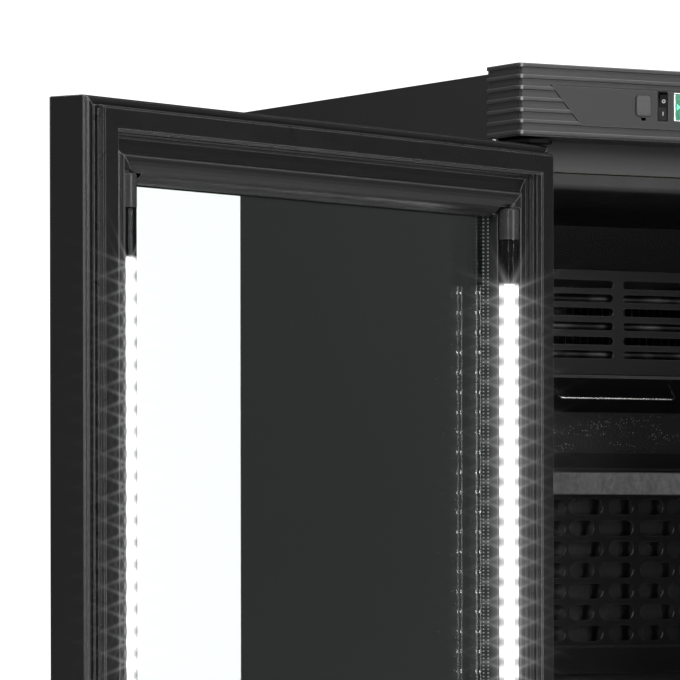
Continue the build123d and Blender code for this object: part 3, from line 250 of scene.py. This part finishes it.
# masks for the painted highlight along the corner mitre: rib crests only, near the corner, facing the front
crest = header.span(phase, 0.32, 0.34, 0, 1)
crest_top = header.span(phase, 0.66, 0.68, 1, 0)
facing = header.new("ShaderNodeSeparateXYZ")
header.link(header.new("ShaderNodeNewGeometry").outputs["Normal"], facing.inputs[0])
mitre = header.new("ShaderNodeMath", operation="ABSOLUTE")
header.link(where.outputs["X"], mitre.inputs[0])
near_edge = header.span(mitre.outputs[0], 0.2978, 0.2983, 0, 1)
amount = header.span(mitre.outputs[0], 0.2994, 0.3001, 0.9, 0)
for extra in (near_edge, crest, crest_top, header.span(facing.outputs["Y"], -0.6, -0.5, 1, 0)):
    n = header.new("ShaderNodeMath", operation="MULTIPLY")
    header.link(amount, n.inputs[0])
    header.link(extra, n.inputs[1])
    amount = n.outputs[0]
mitre_highlight = header.new("ShaderNodeMix")
mitre_highlight.data_type = "RGBA"
mitre_highlight.inputs["B"].default_value = (0.55, 0.55, 0.55, 1)
header.link(header.last, mitre_highlight.inputs["A"])
header.link(amount, mitre_highlight.inputs["Factor"])
header.last = mitre_highlight.outputs["Result"]
grain = header.new("ShaderNodeMix")
grain.data_type, grain.blend_type = "RGBA", "MULTIPLY"
grain.inputs["Factor"].default_value = 1.0
header.link(header.last, grain.inputs["A"])
header.link(header.span(header.noise(1900, 2), 0.3, 0.7, 0.80, 1.20), grain.inputs["B"])
header.last = grain.outputs["Result"]
header.link(header.last, header.b.inputs["Base Color"])
header.roughness(header.noise(1500, 2), 0.28, 0.38).bump(header.cells(2600), 0.10, 0.00025)

panel = Mat("panel_plastic", (0.060, 0.060, 0.061), 0.46)
panel.soften(0.0005)
# random tone, then a painted highlight along convex edges
panel.tint(panel.noise(2600, 2), (0.040, 0.040, 0.041), (0.058, 0.058, 0.059)).edge_highlight((0.30, 0.30, 0.305), 0.6).roughness(panel.noise(1800, 2), 0.40, 0.55)
panel.bump(panel.noise(3200, 3), 0.16, 0.0003)

# extruded door frame: smooth satin with faint draw lines; painted highlight along convex edges and painted shade in
# grooves
door = Mat("door_plastic", (0.017, 0.017, 0.0176), 0.24)
door.soften(0.0008)
# random tone, a painted highlight along convex edges, and painted shade in grooves
door.tint(door.noise(9, 4), (0.0235, 0.0235, 0.0240), (0.0255, 0.0255, 0.0260)).edge_highlight((0.48, 0.48, 0.485), 0.85).crevice_shade((0.003, 0.003, 0.003), 0.008, 0.35, 0.95)
door.roughness(door.noise(700, 3), 0.20, 0.27).bump(door.noise(900, 2), 0.05, 0.0003)

trim = Mat("trim_plastic", (0.030, 0.030, 0.031), 0.42)
trim.soften(0.0008)
trim.tint(trim.noise(13, 4), (0.017, 0.017, 0.0175), (0.022, 0.022, 0.0225)).roughness(trim.noise(30, 4), 0.36, 0.48)
trim.bump(trim.noise(1600, 2), 0.08, 0.0003)

foam = Mat("foam", (0.62, 0.55, 0.33), 0.9)
foam.tint(foam.cells(300), (0.50, 0.43, 0.24), (0.68, 0.61, 0.38), 0.1, 0.6).bump(foam.cells(420), 0.6, 0.001)

# stucco-embossed liner: rows of small pillows, with painted glints (bright specks) in one band of the back wall
liner = Mat("liner", (0.012, 0.012, 0.0125), 0.30, 0.35)
lv = liner.mapped((1, 1, 1))
liner.tint(liner.noise(5, 3), (0.0075, 0.0075, 0.0078), (0.0110, 0.0110, 0.0114))
# painted glints: sparse bright specks, only between z 0.530 and 0.572
glint_spots = liner.new("ShaderNodeMath", operation="MULTIPLY")
liner.link(liner.span(liner.cells(430, liner.mapped((1, 1, 1.6))), 0.10, 0.20, 1, 0), glint_spots.inputs[0])
liner.link(liner.span(liner.noise(70, 3, vec=liner.mapped((0.5, 0.5, 2.2))), 0.47, 0.53, 0, 1), glint_spots.inputs[1])
glint = liner.new("ShaderNodeMix")
glint.data_type = "RGBA"
glint.inputs["B"].default_value = (0.95, 0.95, 0.95, 1)
liner.link(liner.last, glint.inputs["A"])
height = liner.new("ShaderNodeSeparateXYZ")
liner.link(liner.co, height.inputs[0])
amount = glint_spots.outputs[0]
for extra in (liner.span(height.outputs["Z"], 0.530, 0.536, 0, 1), liner.span(height.outputs["Z"], 0.566, 0.572, 1, 0)):
    n = liner.new("ShaderNodeMath", operation="MULTIPLY")
    liner.link(amount, n.inputs[0])
    liner.link(extra, n.inputs[1])
    amount = n.outputs[0]
liner.link(amount, glint.inputs["Factor"])
liner.link(glint.outputs["Result"], liner.b.inputs["Base Color"])
liner.roughness(liner.noise(60, 3), 0.30, 0.42).bump(liner.cells(620, lv), 0.45, 0.0005)
liner.bump(liner.noise(2200, 2), 0.20, 0.0003)

galv = Mat("galvanised", (0.46, 0.47, 0.48), 0.38, 1.0)
galv.soften(0.0006)
galv.tint(galv.cells(70, out="Color"), (0.40, 0.41, 0.42), (0.56, 0.57, 0.58)).roughness(galv.noise(90, 4), 0.28, 0.50)
galv.bump(galv.noise(700, 3), 0.08, 0.0003)

zinc = Mat("zinc", (0.70, 0.70, 0.68), 0.24, 1.0)
zinc.soften(0.0004)
zinc.tint(zinc.noise(300, 3), (0.62, 0.62, 0.58), (0.78, 0.78, 0.77)).roughness(zinc.noise(900, 3), 0.18, 0.32)
zinc.bump(zinc.noise(2500, 2), 0.05, 0.0002)

alu = Mat("aluminium", (0.70, 0.71, 0.72), 0.30, 1.0)
alu.soften(0.0004)
alu.tint(alu.noise(60, 4, vec=alu.mapped((0.15, 6, 6))), (0.60, 0.61, 0.62), (0.80, 0.81, 0.82)).roughness(alu.noise(400, 3), 0.22, 0.40)
alu.bump(alu.noise(500, 3, vec=alu.mapped((0.05, 6, 6))), 0.08, 0.0002)

# textured black sheet: fine wrinkle finish with mica-like glints in the roughness, and a painted highlight along convex
# edges
black = Mat("black_sheet", (0.020, 0.020, 0.021), 0.40, 0.15)
black.soften(0.0006)
# random tone, then a painted highlight along convex edges
black.tint(black.noise(10, 4), (0.010, 0.010, 0.0105), (0.015, 0.015, 0.0155)).edge_highlight((0.30, 0.30, 0.305), 0.6)
black.roughness(black.cells(900), 0.24, 0.48, 0.1, 0.6).bump(black.noise(900, 4), 0.30, 0.0005)

wire = Mat("wire_coating", (0.016, 0.016, 0.0165), 0.33)
wire.tint(wire.noise(40, 4), (0.013, 0.013, 0.0135), (0.021, 0.021, 0.0215)).roughness(wire.noise(120, 3), 0.26, 0.40)
wire.bump(wire.noise(800, 3), 0.12, 0.0003)

rail = Mat("price_rail", (0.125, 0.125, 0.127), 0.45, 0.25)
rail.soften(0.0006)
# random mottling, then a painted highlight along convex edges
rail.tint(rail.noise(190, 6, 0.7, vec=rail.mapped((1, 1, 0.7))), (0.036, 0.036, 0.037), (0.092, 0.092, 0.094), 0.35, 0.65).edge_highlight((0.28, 0.28, 0.285), 0.5)
rail.roughness(rail.noise(800, 3), 0.36, 0.55).bump(rail.noise(1700, 3), 0.35, 0.0004)

rubber = Mat("gasket_rubber", (0.016, 0.016, 0.0165), 0.46)
# random tone, then a strong painted highlight along convex edges and folds
rubber.tint(rubber.noise(24, 4), (0.0135, 0.0135, 0.014), (0.017, 0.017, 0.0175)).edge_highlight((0.55, 0.55, 0.56), 0.9).roughness(rubber.noise(90, 4), 0.26, 0.36)
rubber.bump(rubber.noise(1200, 2), 0.08, 0.0003)

white = Mat("white_plastic", (0.72, 0.72, 0.69), 0.45)
white.tint(white.noise(30, 3), (0.67, 0.67, 0.63), (0.76, 0.76, 0.73)).roughness(white.noise(200, 3), 0.38, 0.52)
white.bump(white.noise(1500, 2), 0.05, 0.0002)

cap = Mat("cap_plastic", (0.105, 0.105, 0.107), 0.32)
cap.soften(0.0005)
cap.tint(cap.noise(80, 3), (0.050, 0.050, 0.051), (0.064, 0.064, 0.065)).roughness(cap.noise(400, 3), 0.20, 0.28)
cap.bump(cap.noise(2200, 2), 0.06, 0.0002)

gloss = Mat("switch_gloss", (0.008, 0.008, 0.008), 0.16)
gloss.soften(0.0004)
gloss.tint(gloss.noise(200, 3), (0.006, 0.006, 0.006), (0.012, 0.012, 0.012)).roughness(gloss.noise(500, 3), 0.34, 0.46)
gloss.bump(gloss.noise(1800, 2), 0.03, 0.0002)
gloss.b.inputs["Specular IOR Level"].default_value = 0.22

bezel = Mat("bezel_bright", (0.78, 0.78, 0.78), 0.18, 1.0)
bezel.soften(0.0003)
bezel.tint(bezel.noise(90, 3), (0.70, 0.70, 0.70), (0.84, 0.84, 0.84)).roughness(bezel.noise(700, 3), 0.12, 0.26)
bezel.bump(bezel.noise(2500, 2), 0.03, 0.0002)

# lit green cell with a dim pixel grid
lcd = Mat("lcd", (0.010, 0.16, 0.085), 0.12)
grid = lcd.cells(900, lcd.mapped((1, 0.001, 1)))
lcd.tint(grid, (0.010, 0.13, 0.070), (0.020, 0.24, 0.13), 0.1, 0.6)
lcd.link(lcd.last, lcd.b.inputs["Emission Color"])
lcd.b.inputs["Emission Strength"].default_value = 0.55
lcd.roughness(lcd.noise(300, 2), 0.08, 0.16)

lcd_lit = Mat("lcd_segments", (0.10, 0.75, 0.42), 0.3)
lcd_lit.tint(lcd_lit.noise(500, 2), (0.08, 0.66, 0.36), (0.13, 0.82, 0.47))
lcd_lit.link(lcd_lit.last, lcd_lit.b.inputs["Emission Color"])
lcd_lit.b.inputs["Emission Strength"].default_value = 1.1

pcb = Mat("board", (0.02, 0.14, 0.05), 0.35)
pcb.tint(pcb.cells(420), (0.015, 0.10, 0.035), (0.03, 0.19, 0.07), 0.1, 0.5).roughness(pcb.noise(300, 3), 0.25, 0.5)
pcb.bump(pcb.cells(420), 0.2, 0.0003)

copper = Mat("copper", (0.72, 0.36, 0.22), 0.30, 1.0)
copper.tint(copper.noise(70, 5), (0.42, 0.20, 0.12), (0.80, 0.42, 0.27)).roughness(copper.noise(120, 4), 0.22, 0.48)
copper.bump(copper.noise(800, 3), 0.08, 0.0002)

shell = Mat("compressor_paint", (0.010, 0.010, 0.010), 0.26)
shell.tint(shell.noise(20, 4), (0.008, 0.008, 0.008), (0.015, 0.015, 0.015)).roughness(shell.noise(60, 4), 0.18, 0.36)
shell.bump(shell.noise(260, 3), 0.12, 0.0004)

# float glass, faint green, with a breath of dust in the roughness
glass = Mat("float_glass", (0.965, 1.0, 0.99), 0.0)
glass.b.inputs["Transmission Weight"].default_value = 1.0
glass.b.inputs["IOR"].default_value = 1.46
glass.tint(glass.noise(3, 2), (0.978, 1.0, 0.999), (0.984, 1.0, 1.0)).roughness(glass.noise(14, 5), 0.0, 0.004, 0.75, 0.98)
glass.clear_shadow((0.93, 0.96, 0.95))

# moulded lamp cover: clear with light ribbing
lens = Mat("lamp_cover", (0.93, 0.93, 0.94), 0.03)
lens.b.inputs["Transmission Weight"].default_value = 1.0
lens.b.inputs["IOR"].default_value = 1.35
lens.b.inputs["Specular IOR Level"].default_value = 0.25
lens.roughness(lens.noise(300, 3), 0.01, 0.05).bump(lens.noise(160, 2, vec=lens.mapped((1, 1, 0.05))), 0.02, 0.0002)
level = lens.new("ShaderNodeSeparateXYZ")
lens.link(lens.co, level.inputs[0])
lens.tint(level.outputs["Z"], (0.93, 0.93, 0.94), (0.22, 0.22, 0.224), 0.6625, 0.6655)
chip_z = [v.co.z for v in NODES["led_chips"].data.vertices]
steps = level.outputs["Z"]
for op, value in (("SUBTRACT", min(chip_z) + 0.00175 - 0.05 / 6), ("DIVIDE", 0.05 / 3), ("FRACT", 0), ("SUBTRACT", 0.5), ("ABSOLUTE", 0)):
    n = lens.new("ShaderNodeMath", operation=op)
    lens.link(steps, n.inputs[0])
    n.inputs[1].default_value = value
    steps = n.outputs[0]
# painted light: the cover glows around each LED, standing in for the lamps' light scattered in it, and mostly only
# where seen directly
glow_amount = lens.new("ShaderNodeMath", operation="MULTIPLY")
lens.link(lens.span(steps, 0.08, 0.42, 0.55, 0.16), glow_amount.inputs[0])
lens.link(lens.span(level.outputs["Z"], 0.6625, 0.6655, 1, 0), glow_amount.inputs[1])
ray = lens.new("ShaderNodeLightPath")
direct = lens.new("ShaderNodeMath", operation="MULTIPLY")
lens.link(glow_amount.outputs[0], direct.inputs[0])
lens.link(lens.span(ray.outputs["Glossy Depth"], 0.4, 0.6, 1, 0.08), direct.inputs[1])
lens.b.inputs["Emission Color"].default_value = (1, 1, 1, 1)
lens.link(direct.outputs[0], lens.b.inputs["Emission Strength"])
lens.clear_shadow((0.85, 0.85, 0.85))

lamp = Mat("lamp", (1.0, 1.0, 1.0), 0.4)
lamp.tint(lamp.noise(500, 2), (0.96, 0.98, 1.0), (1.0, 1.0, 0.98))
lamp.link(lamp.last, lamp.b.inputs["Emission Color"])
# each lamp is hottest along its middle line
chips_z = [v.co.z for v in NODES["led_chips"].data.vertices]
hot = lamp.new("ShaderNodeSeparateXYZ")
lamp.link(lamp.co, hot.inputs[0])
steps = hot.outputs["Z"]
for op, value in (("SUBTRACT", min(chips_z) + 0.00175 - 0.05 / 6), ("DIVIDE", 0.05 / 3), ("FRACT", 0), ("SUBTRACT", 0.5), ("ABSOLUTE", 0)):
    n = lamp.new("ShaderNodeMath", operation=op)
    lamp.link(steps, n.inputs[0])
    n.inputs[1].default_value = value
    steps = n.outputs[0]
lamp.link(lamp.span(steps, 0.03, 0.07, 90.0, 2.0), lamp.b.inputs["Emission Strength"])

lampboard = Mat("lamp_board", (0.60, 0.60, 0.60), 0.35)
lampboard.tint(lampboard.cells(300), (0.52, 0.52, 0.52), (0.66, 0.66, 0.66), 0.1, 0.5).roughness(lampboard.noise(300, 3), 0.25, 0.45)
lampboard.bump(lampboard.cells(300), 0.1, 0.0002)
# painted light: the board glows, standing in for its LEDs' light spread across it
lampboard.link(lampboard.last, lampboard.b.inputs["Emission Color"])
lampboard.b.inputs["Emission Strength"].default_value = 3.6

BY_SLOT = {
    "casing_paint": casing, "black_plastic": header, "door_plastic": door, "foam": foam, "liner_black": liner,
    "galvanised": galv, "zinc": zinc, "aluminium": alu, "black_metal": black, "rail_grey": rail, "wire_black": wire,
    "rubber": rubber, "white_plastic": white, "grey_plastic": cap, "switch_black": gloss, "bezel_bright": bezel,
    "lcd_green": lcd, "pcb": pcb, "copper": copper, "glass": glass, "lens": lens, "led": lamp, "compressor_black": shell,
}
# warm-edge spacer: dark bar with rows of tiny desiccant holes, each painted bright as a painted reflection of the lamps
spacer = Mat("spacer", (0.045, 0.045, 0.047), 0.35, 0.6)
rows = spacer.new("ShaderNodeTexWave")
rows.wave_type, rows.bands_direction, rows.wave_profile = "BANDS", "Z", "SIN"
rows.inputs["Scale"].default_value = 103.0
rows.inputs["Distortion"].default_value = 0.0
spacer.link(spacer.co, rows.inputs["Vector"])
axis = Vector((math.sin(OPEN), math.cos(OPEN), 0))
depth = [axis.dot(NODES["glass_spacer"].matrix_world @ v.co) for v in NODES["glass_spacer"].data.vertices]
across = spacer.new("ShaderNodeVectorMath", operation="DOT_PRODUCT")
across.inputs[1].default_value = axis
spacer.link(spacer.co, across.inputs[0])
steps = across.outputs["Value"]
for op, value in (("SUBTRACT", (min(depth) + max(depth)) / 2), ("ABSOLUTE", 0), ("SUBTRACT", 0.0024), ("ABSOLUTE", 0), ("LESS_THAN", 0.0008)):
    n = spacer.new("ShaderNodeMath", operation=op)
    spacer.link(steps, n.inputs[0])
    n.inputs[1].default_value = value
    steps = n.outputs[0]
both = spacer.new("ShaderNodeMath", operation="MULTIPLY")
spacer.link(rows.outputs["Fac"], both.inputs[0])
spacer.link(steps, both.inputs[1])
dots = both.outputs[0]
# painted reflection: the hole dots are painted bright
spacer.tint(dots, (0.030, 0.030, 0.031), (0.60, 0.61, 0.62), 0.60, 0.80).roughness(spacer.noise(300, 3), 0.28, 0.45)
spacer.bump(dots, 0.3, 0.0004)

# black extruded carrier of the lamp bar
carrier = Mat("carrier", (0.020, 0.020, 0.021), 0.30)
carrier.tint(carrier.noise(60, 3), (0.016, 0.016, 0.017), (0.026, 0.026, 0.027)).roughness(carrier.noise(300, 3), 0.24, 0.38)
carrier.bump(carrier.noise(500, 2, vec=carrier.mapped((1, 1, 0.05))), 0.2, 0.0004)

coil = Mat("coil_aluminium", (0.060, 0.060, 0.061), 0.34, 0.85)
coil.tint(coil.noise(26, 3), (0.022, 0.022, 0.0225), (0.135, 0.135, 0.137), 0.42, 0.66).roughness(coil.noise(400, 3), 0.30, 0.48)
coil.bump(coil.noise(700, 3), 0.08, 0.0002)

sheet = Mat("duct_sheet", (0.008, 0.008, 0.0083), 0.20)
sheet.soften(0.0005)
# random tone, then a painted highlight along convex edges
sheet.tint(sheet.noise(10, 4), (0.0062, 0.0062, 0.0064), (0.0088, 0.0088, 0.0090)).edge_highlight((0.20, 0.20, 0.203), 0.35)
# painted highlight: slot end walls facing -X are painted bright, standing in for the lamps' glint at the slot ends
face = sheet.new("ShaderNodeSeparateXYZ")
sheet.link(sheet.new("ShaderNodeNewGeometry").outputs["True Normal"], face.inputs[0])
slot_end_glint = sheet.new("ShaderNodeMath", operation="MULTIPLY")
sheet.link(sheet.span(face.outputs["X"], -0.80, -0.60, 1, 0), slot_end_glint.inputs[0])
sheet.link(sheet.span(face.outputs["Z"], -0.05, 0.05, 0, 1), slot_end_glint.inputs[1])
slot_end_highlight = sheet.new("ShaderNodeMix")
slot_end_highlight.data_type = "RGBA"
slot_end_highlight.inputs["B"].default_value = (0.85, 0.85, 0.86, 1)
sheet.link(sheet.last, slot_end_highlight.inputs["A"])
sheet.link(slot_end_glint.outputs[0], slot_end_highlight.inputs["Factor"])
sheet.link(slot_end_highlight.outputs["Result"], sheet.b.inputs["Base Color"])
sheet.roughness(sheet.noise(600, 3), 0.16, 0.24).bump(sheet.noise(1500, 3), 0.05, 0.0002)

hinge = Mat("hinge_black", (0.006, 0.006, 0.006), 0.6)
hinge.b.inputs["Specular IOR Level"].default_value = 0.15
hinge.tint(hinge.noise(40, 4), (0.0045, 0.0045, 0.0046), (0.0075, 0.0075, 0.0077)).roughness(hinge.noise(200, 3), 0.52, 0.68)
hinge.bump(hinge.noise(900, 3), 0.12, 0.0003)

BY_NODE = {"duct_panel": sheet, "evaporator_cover": sheet, "evaporator_coil": coil, "hinge_bracket_top": hinge, "hinge_bracket_bottom": hinge, "glass_spacer": spacer, "led_carriers": carrier, "breaker_trim": trim, "control_panel": panel, "blank_cap": cap, "led_boards": lampboard, "evaporator_fan": trim,
           "condenser_fan": trim, "kick_grille": trim}
slot_of = {s["node"]: s["material_slot"] for s in frame["record"]["subparts"]}


def dress(obj, mat):
    m = mat.m
    if not obj.material_slots:
        obj.data.materials.append(m)
    for s in obj.material_slots:
        s.material = m


for name, obj in NODES.items():
    dress(obj, BY_NODE.get(name) or BY_SLOT[slot_of[name]])


# ---------------------------------------------------------------- mesh helpers
def add_piece(name, bm, mat, body, matrix=None, smooth=False):
    me = bpy.data.meshes.new(name)
    bmesh.ops.recalc_face_normals(bm, faces=bm.faces)
    bm.to_mesh(me)
    bm.free()
    if matrix is not None:
        me.transform(matrix)
    o = bpy.data.objects.new(name, me)
    scene.collection.objects.link(o)
    me.materials.append(mat.m)
    if smooth:
        for p in me.polygons:
            p.use_smooth = True
    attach(o, body)
    return o


def prism(bm, pts, y0, y1):
    """Closed prism with outline pts in (x, z), from y0 to y1."""
    a = [bm.verts.new((x, y0, z)) for x, z in pts]
    b = [bm.verts.new((x, y1, z)) for x, z in pts]
    n = len(pts)
    bm.faces.new(a)
    bm.faces.new(b[::-1])
    for i in range(n):
        bm.faces.new((a[i], b[i], b[(i + 1) % n], a[(i + 1) % n]))


def ring(bm, cx, cz, r0, r1, y0, y1, n=28):
    vs = []
    for i in range(n):
        t = 2 * math.pi * i / n
        vs.append([bm.verts.new((cx + r * math.cos(t), y, cz + r * math.sin(t))) for r, y in ((r0, y0), (r1, y0), (r1, y1), (r0, y1))])
    for i in range(n):
        a, b = vs[i], vs[(i + 1) % n]
        for k in range(4):
            bm.faces.new((a[k], b[k], b[(k + 1) % 4], a[(k + 1) % 4]))


# ---------------------------------------------------------------- switch marks and display segments
SWX, SWZ, LCX, LCZ = -0.1603, 0.8194, -0.1175, 0.8194
tilt = Matrix.Translation((SWX, -0.253, SWZ)) @ Matrix.Rotation(math.radians(7), 4, "X") @ Matrix.Translation((-SWX, 0.253, -SWZ))
bm = bmesh.new()
slope = 1.9 / 10.7
zr = 0.0052
ring(bm, SWX, SWZ + zr, 0.00095, 0.00165, -0.2594 - slope * zr - 0.00032, -0.2594 - slope * zr + 0.0004)
add_piece("rocker_ring_mark", bm, white, "rocker_body", tilt)
bm = bmesh.new()
prism(bm, [(SWX - 0.00042, SWZ - 0.0070), (SWX + 0.00042, SWZ - 0.0070), (SWX + 0.00042, SWZ - 0.0037), (SWX - 0.00042, SWZ - 0.0037)],
      -0.2594 - slope * 0.0054 - 0.00040, -0.2594)
add_piece("rocker_bar_mark", bm, white, "rocker_body", tilt)

bm = bmesh.new()
yy0, yy1 = -0.25935, -0.2591
def seg(x, z, w, h, lean=0.0):
    prism(bm, [(x - w / 2 - lean, z - h / 2), (x + w / 2 - lean, z - h / 2), (x + w / 2 + lean, z + h / 2), (x - w / 2 + lean, z + h / 2)], yy0, yy1)
def digit(cx, cz, on, s=1.0):
    w, h, t = 0.0066 * s, 0.0062 * s, 0.0013 * s
    if "a" in on: seg(cx, cz + h, w, t)
    if "g" in on: seg(cx, cz, w, t)
    if "d" in on: seg(cx, cz - h, w, t)
    if "f" in on: seg(cx - w / 2, cz + h / 2, t, h - t)
    if "b" in on: seg(cx + w / 2, cz + h / 2, t, h - t)
    if "e" in on: seg(cx - w / 2, cz - h / 2, t, h - t)
    if "c" in on: seg(cx + w / 2, cz - h / 2, t, h - t)
digit(LCX + 0.002, LCZ, "abgcd")
digit(LCX + 0.013, LCZ, "afgcd")
prism(bm, [(LCX - 0.0285, LCZ - 0.0028), (LCX - 0.0240, LCZ), (LCX - 0.0285, LCZ + 0.0028)], yy0, yy1)
for dx in (-0.019, -0.0145):
    seg(LCX + dx, LCZ - 0.0085, 0.003, 0.0016)
ring(bm, LCX + 0.0215, LCZ + 0.0058, 0.0009, 0.0017, yy0, yy1, 20)
add_piece("display_segments", bm, lcd_lit, "cabinet")


# ---------------------------------------------------------------- camera
cam_data = bpy.data.cameras.new("photo_camera")
cam = bpy.data.objects.new("photo_camera", cam_data)
scene.collection.objects.link(cam)
scene.camera = cam
CAM = (-2.4385, -3.9111, 0.4535)
cam.location = CAM
cam.rotation_euler = (math.radians(90 - 1.028), 0, math.radians(-31.728))
cam_data.sensor_width = 36.0
cam_data.lens = 5055.87 * 36.0 / 680.0
cam_data.clip_start, cam_data.clip_end = 0.05, 100
for prop, value in (("shift_x", -0.44448), ("shift_y", 0.42324)):
    d = cam_data.driver_add(prop).driver
    d.type = "SCRIPTED"
    for axis, var in (("X", "x"), ("Y", "y")):
        v = d.variables.new()
        v.name = var
        v.type = "TRANSFORMS"
        v.targets[0].id = cam
        v.targets[0].transform_type = "LOC_" + axis
        v.targets[0].transform_space = "WORLD_SPACE"
    d.expression = f"{value} if abs(x + 2.4385) + abs(y + 3.9111) < 0.002 else 0"

# ---------------------------------------------------------------- stage and light
scene.view_settings.view_transform = "Standard"
scene.view_settings.look = "None"
floor_m = Mat("floor_paper", (0.80, 0.80, 0.79), 0.85)
floor_m.tint(floor_m.noise(2, 3), (0.78, 0.78, 0.77), (0.82, 0.82, 0.81)).bump(floor_m.noise(300, 2), 0.03, 0.0005)
seen = floor_m.new("ShaderNodeLightPath")
lift = floor_m.new("ShaderNodeMath", operation="MULTIPLY")
floor_m.link(seen.outputs["Is Camera Ray"], lift.inputs[0])
lift.inputs[1].default_value = 0.42
floor_m.b.inputs["Emission Color"].default_value = (1, 1, 0.99, 1)
floor_m.link(lift.outputs[0], floor_m.b.inputs["Emission Strength"])
bm = bmesh.new()
bmesh.ops.create_circle(bm, cap_ends=True, segments=96, radius=8.0)
me = bpy.data.meshes.new("floor")
bm.to_mesh(me); bm.free()
floor = bpy.data.objects.new("floor", me)
scene.collection.objects.link(floor)
me.materials.append(floor_m.m)

world = bpy.data.worlds.new("studio")
scene.world = world
world.use_nodes = True
nt = world.node_tree
nt.nodes.clear()
wo = nt.nodes.new("ShaderNodeOutputWorld")
bright = nt.nodes.new("ShaderNodeBackground")
bright.inputs[0].default_value = (1, 1, 1, 1)
bright.inputs[1].default_value = 1.25
dim = nt.nodes.new("ShaderNodeBackground")
dim.inputs[0].default_value = (1, 1, 1, 1)
dim.inputs[1].default_value = 0.07
path = nt.nodes.new("ShaderNodeLightPath")
bounces = nt.nodes.new("ShaderNodeMath"); bounces.operation = "ADD"
nt.links.new(path.outputs["Diffuse Depth"], bounces.inputs[0])
nt.links.new(path.outputs["Glossy Depth"], bounces.inputs[1])
either = nt.nodes.new("ShaderNodeMath"); either.operation = "LESS_THAN"
nt.links.new(bounces.outputs[0], either.inputs[0])
either.inputs[1].default_value = 0.5
mix = nt.nodes.new("ShaderNodeMixShader")
nt.links.new(either.outputs[0], mix.inputs[0])
nt.links.new(dim.outputs[0], mix.inputs[1])
nt.links.new(bright.outputs[0], mix.inputs[2])
nt.links.new(mix.outputs[0], wo.inputs[0])


def area(name, loc, target, size, power, color=(1, 1, 1), size_y=None):
    d = bpy.data.lights.new(name, "AREA")
    d.energy = power
    d.color = color
    d.size = size
    if size_y:
        d.shape = "RECTANGLE"
        d.size_y = size_y
    o = bpy.data.objects.new(name, d)
    scene.collection.objects.link(o)
    o.location = loc
    o.rotation_euler = (Vector(target) - Vector(loc)).to_track_quat("-Z", "Y").to_euler()
    o.visible_camera = False
    o.visible_transmission = False
    return o


area("key_soft", (-1.2, -3.4, 3.4), (0, -0.2, 0.6), 1.2, 20)
area("right_soft", (2.0, -4.0, 2.0), (0, -0.1, 0.5), 0.5, 22, size_y=1.6)
area("left_strip", (-3.6, -1.2, 1.4), (-0.4, -0.2, 0.5), 0.35, 13, size_y=2.4)
area("front_strip_left", (-1.9, -2.6, 0.9), (-0.45, -0.35, 0.5), 0.08, 9, size_y=2.2)
area("front_strip_right", (0.7, -2.6, 0.9), (-0.35, -0.30, 0.5), 0.08, 11, size_y=2.2)
area("low_strip", (-0.6, -2.4, 0.05), (-0.4, -0.35, 0.7), 2.4, 7, size_y=0.10)
area("rear_strip", (-2.6, 2.4, 1.8), (-0.3, 0, 0.6), 0.5, 6, size_y=2.2)
area("top_soft", (0.2, -0.4, 3.2), (0, 0, 0.8), 1.6, 34)

# lens flare of the bright lamps, as a stopped-down camera draws it
scene.use_nodes = True
ct = scene.node_tree
ct.nodes.clear()
layers = ct.nodes.new("CompositorNodeRLayers")
star = ct.nodes.new("CompositorNodeGlare")
star.glare_type = "STREAKS"
star.quality = "HIGH"
glow = ct.nodes.new("CompositorNodeGlare")
glow.glare_type = "FOG_GLOW"
glow.quality = "HIGH"
final = ct.nodes.new("CompositorNodeComposite")
for node, values in ((star, {"Threshold": 2.6, "Smoothness": 0.05, "Strength": 0.26, "Streaks": 8, "Streaks Angle": math.radians(22.5), "Iterations": 4, "Fade": 0.92, "Color Modulation": 0.0}),
                     (glow, {"Threshold": 1.5, "Smoothness": 0.1, "Strength": 0.60, "Size": 0.04})):
    for k, v in values.items():
        node.inputs[k].default_value = v
ct.links.new(layers.outputs["Image"], star.inputs["Image"])
ct.links.new(star.outputs["Image"], glow.inputs["Image"])
ct.links.new(glow.outputs["Image"], final.inputs["Image"])
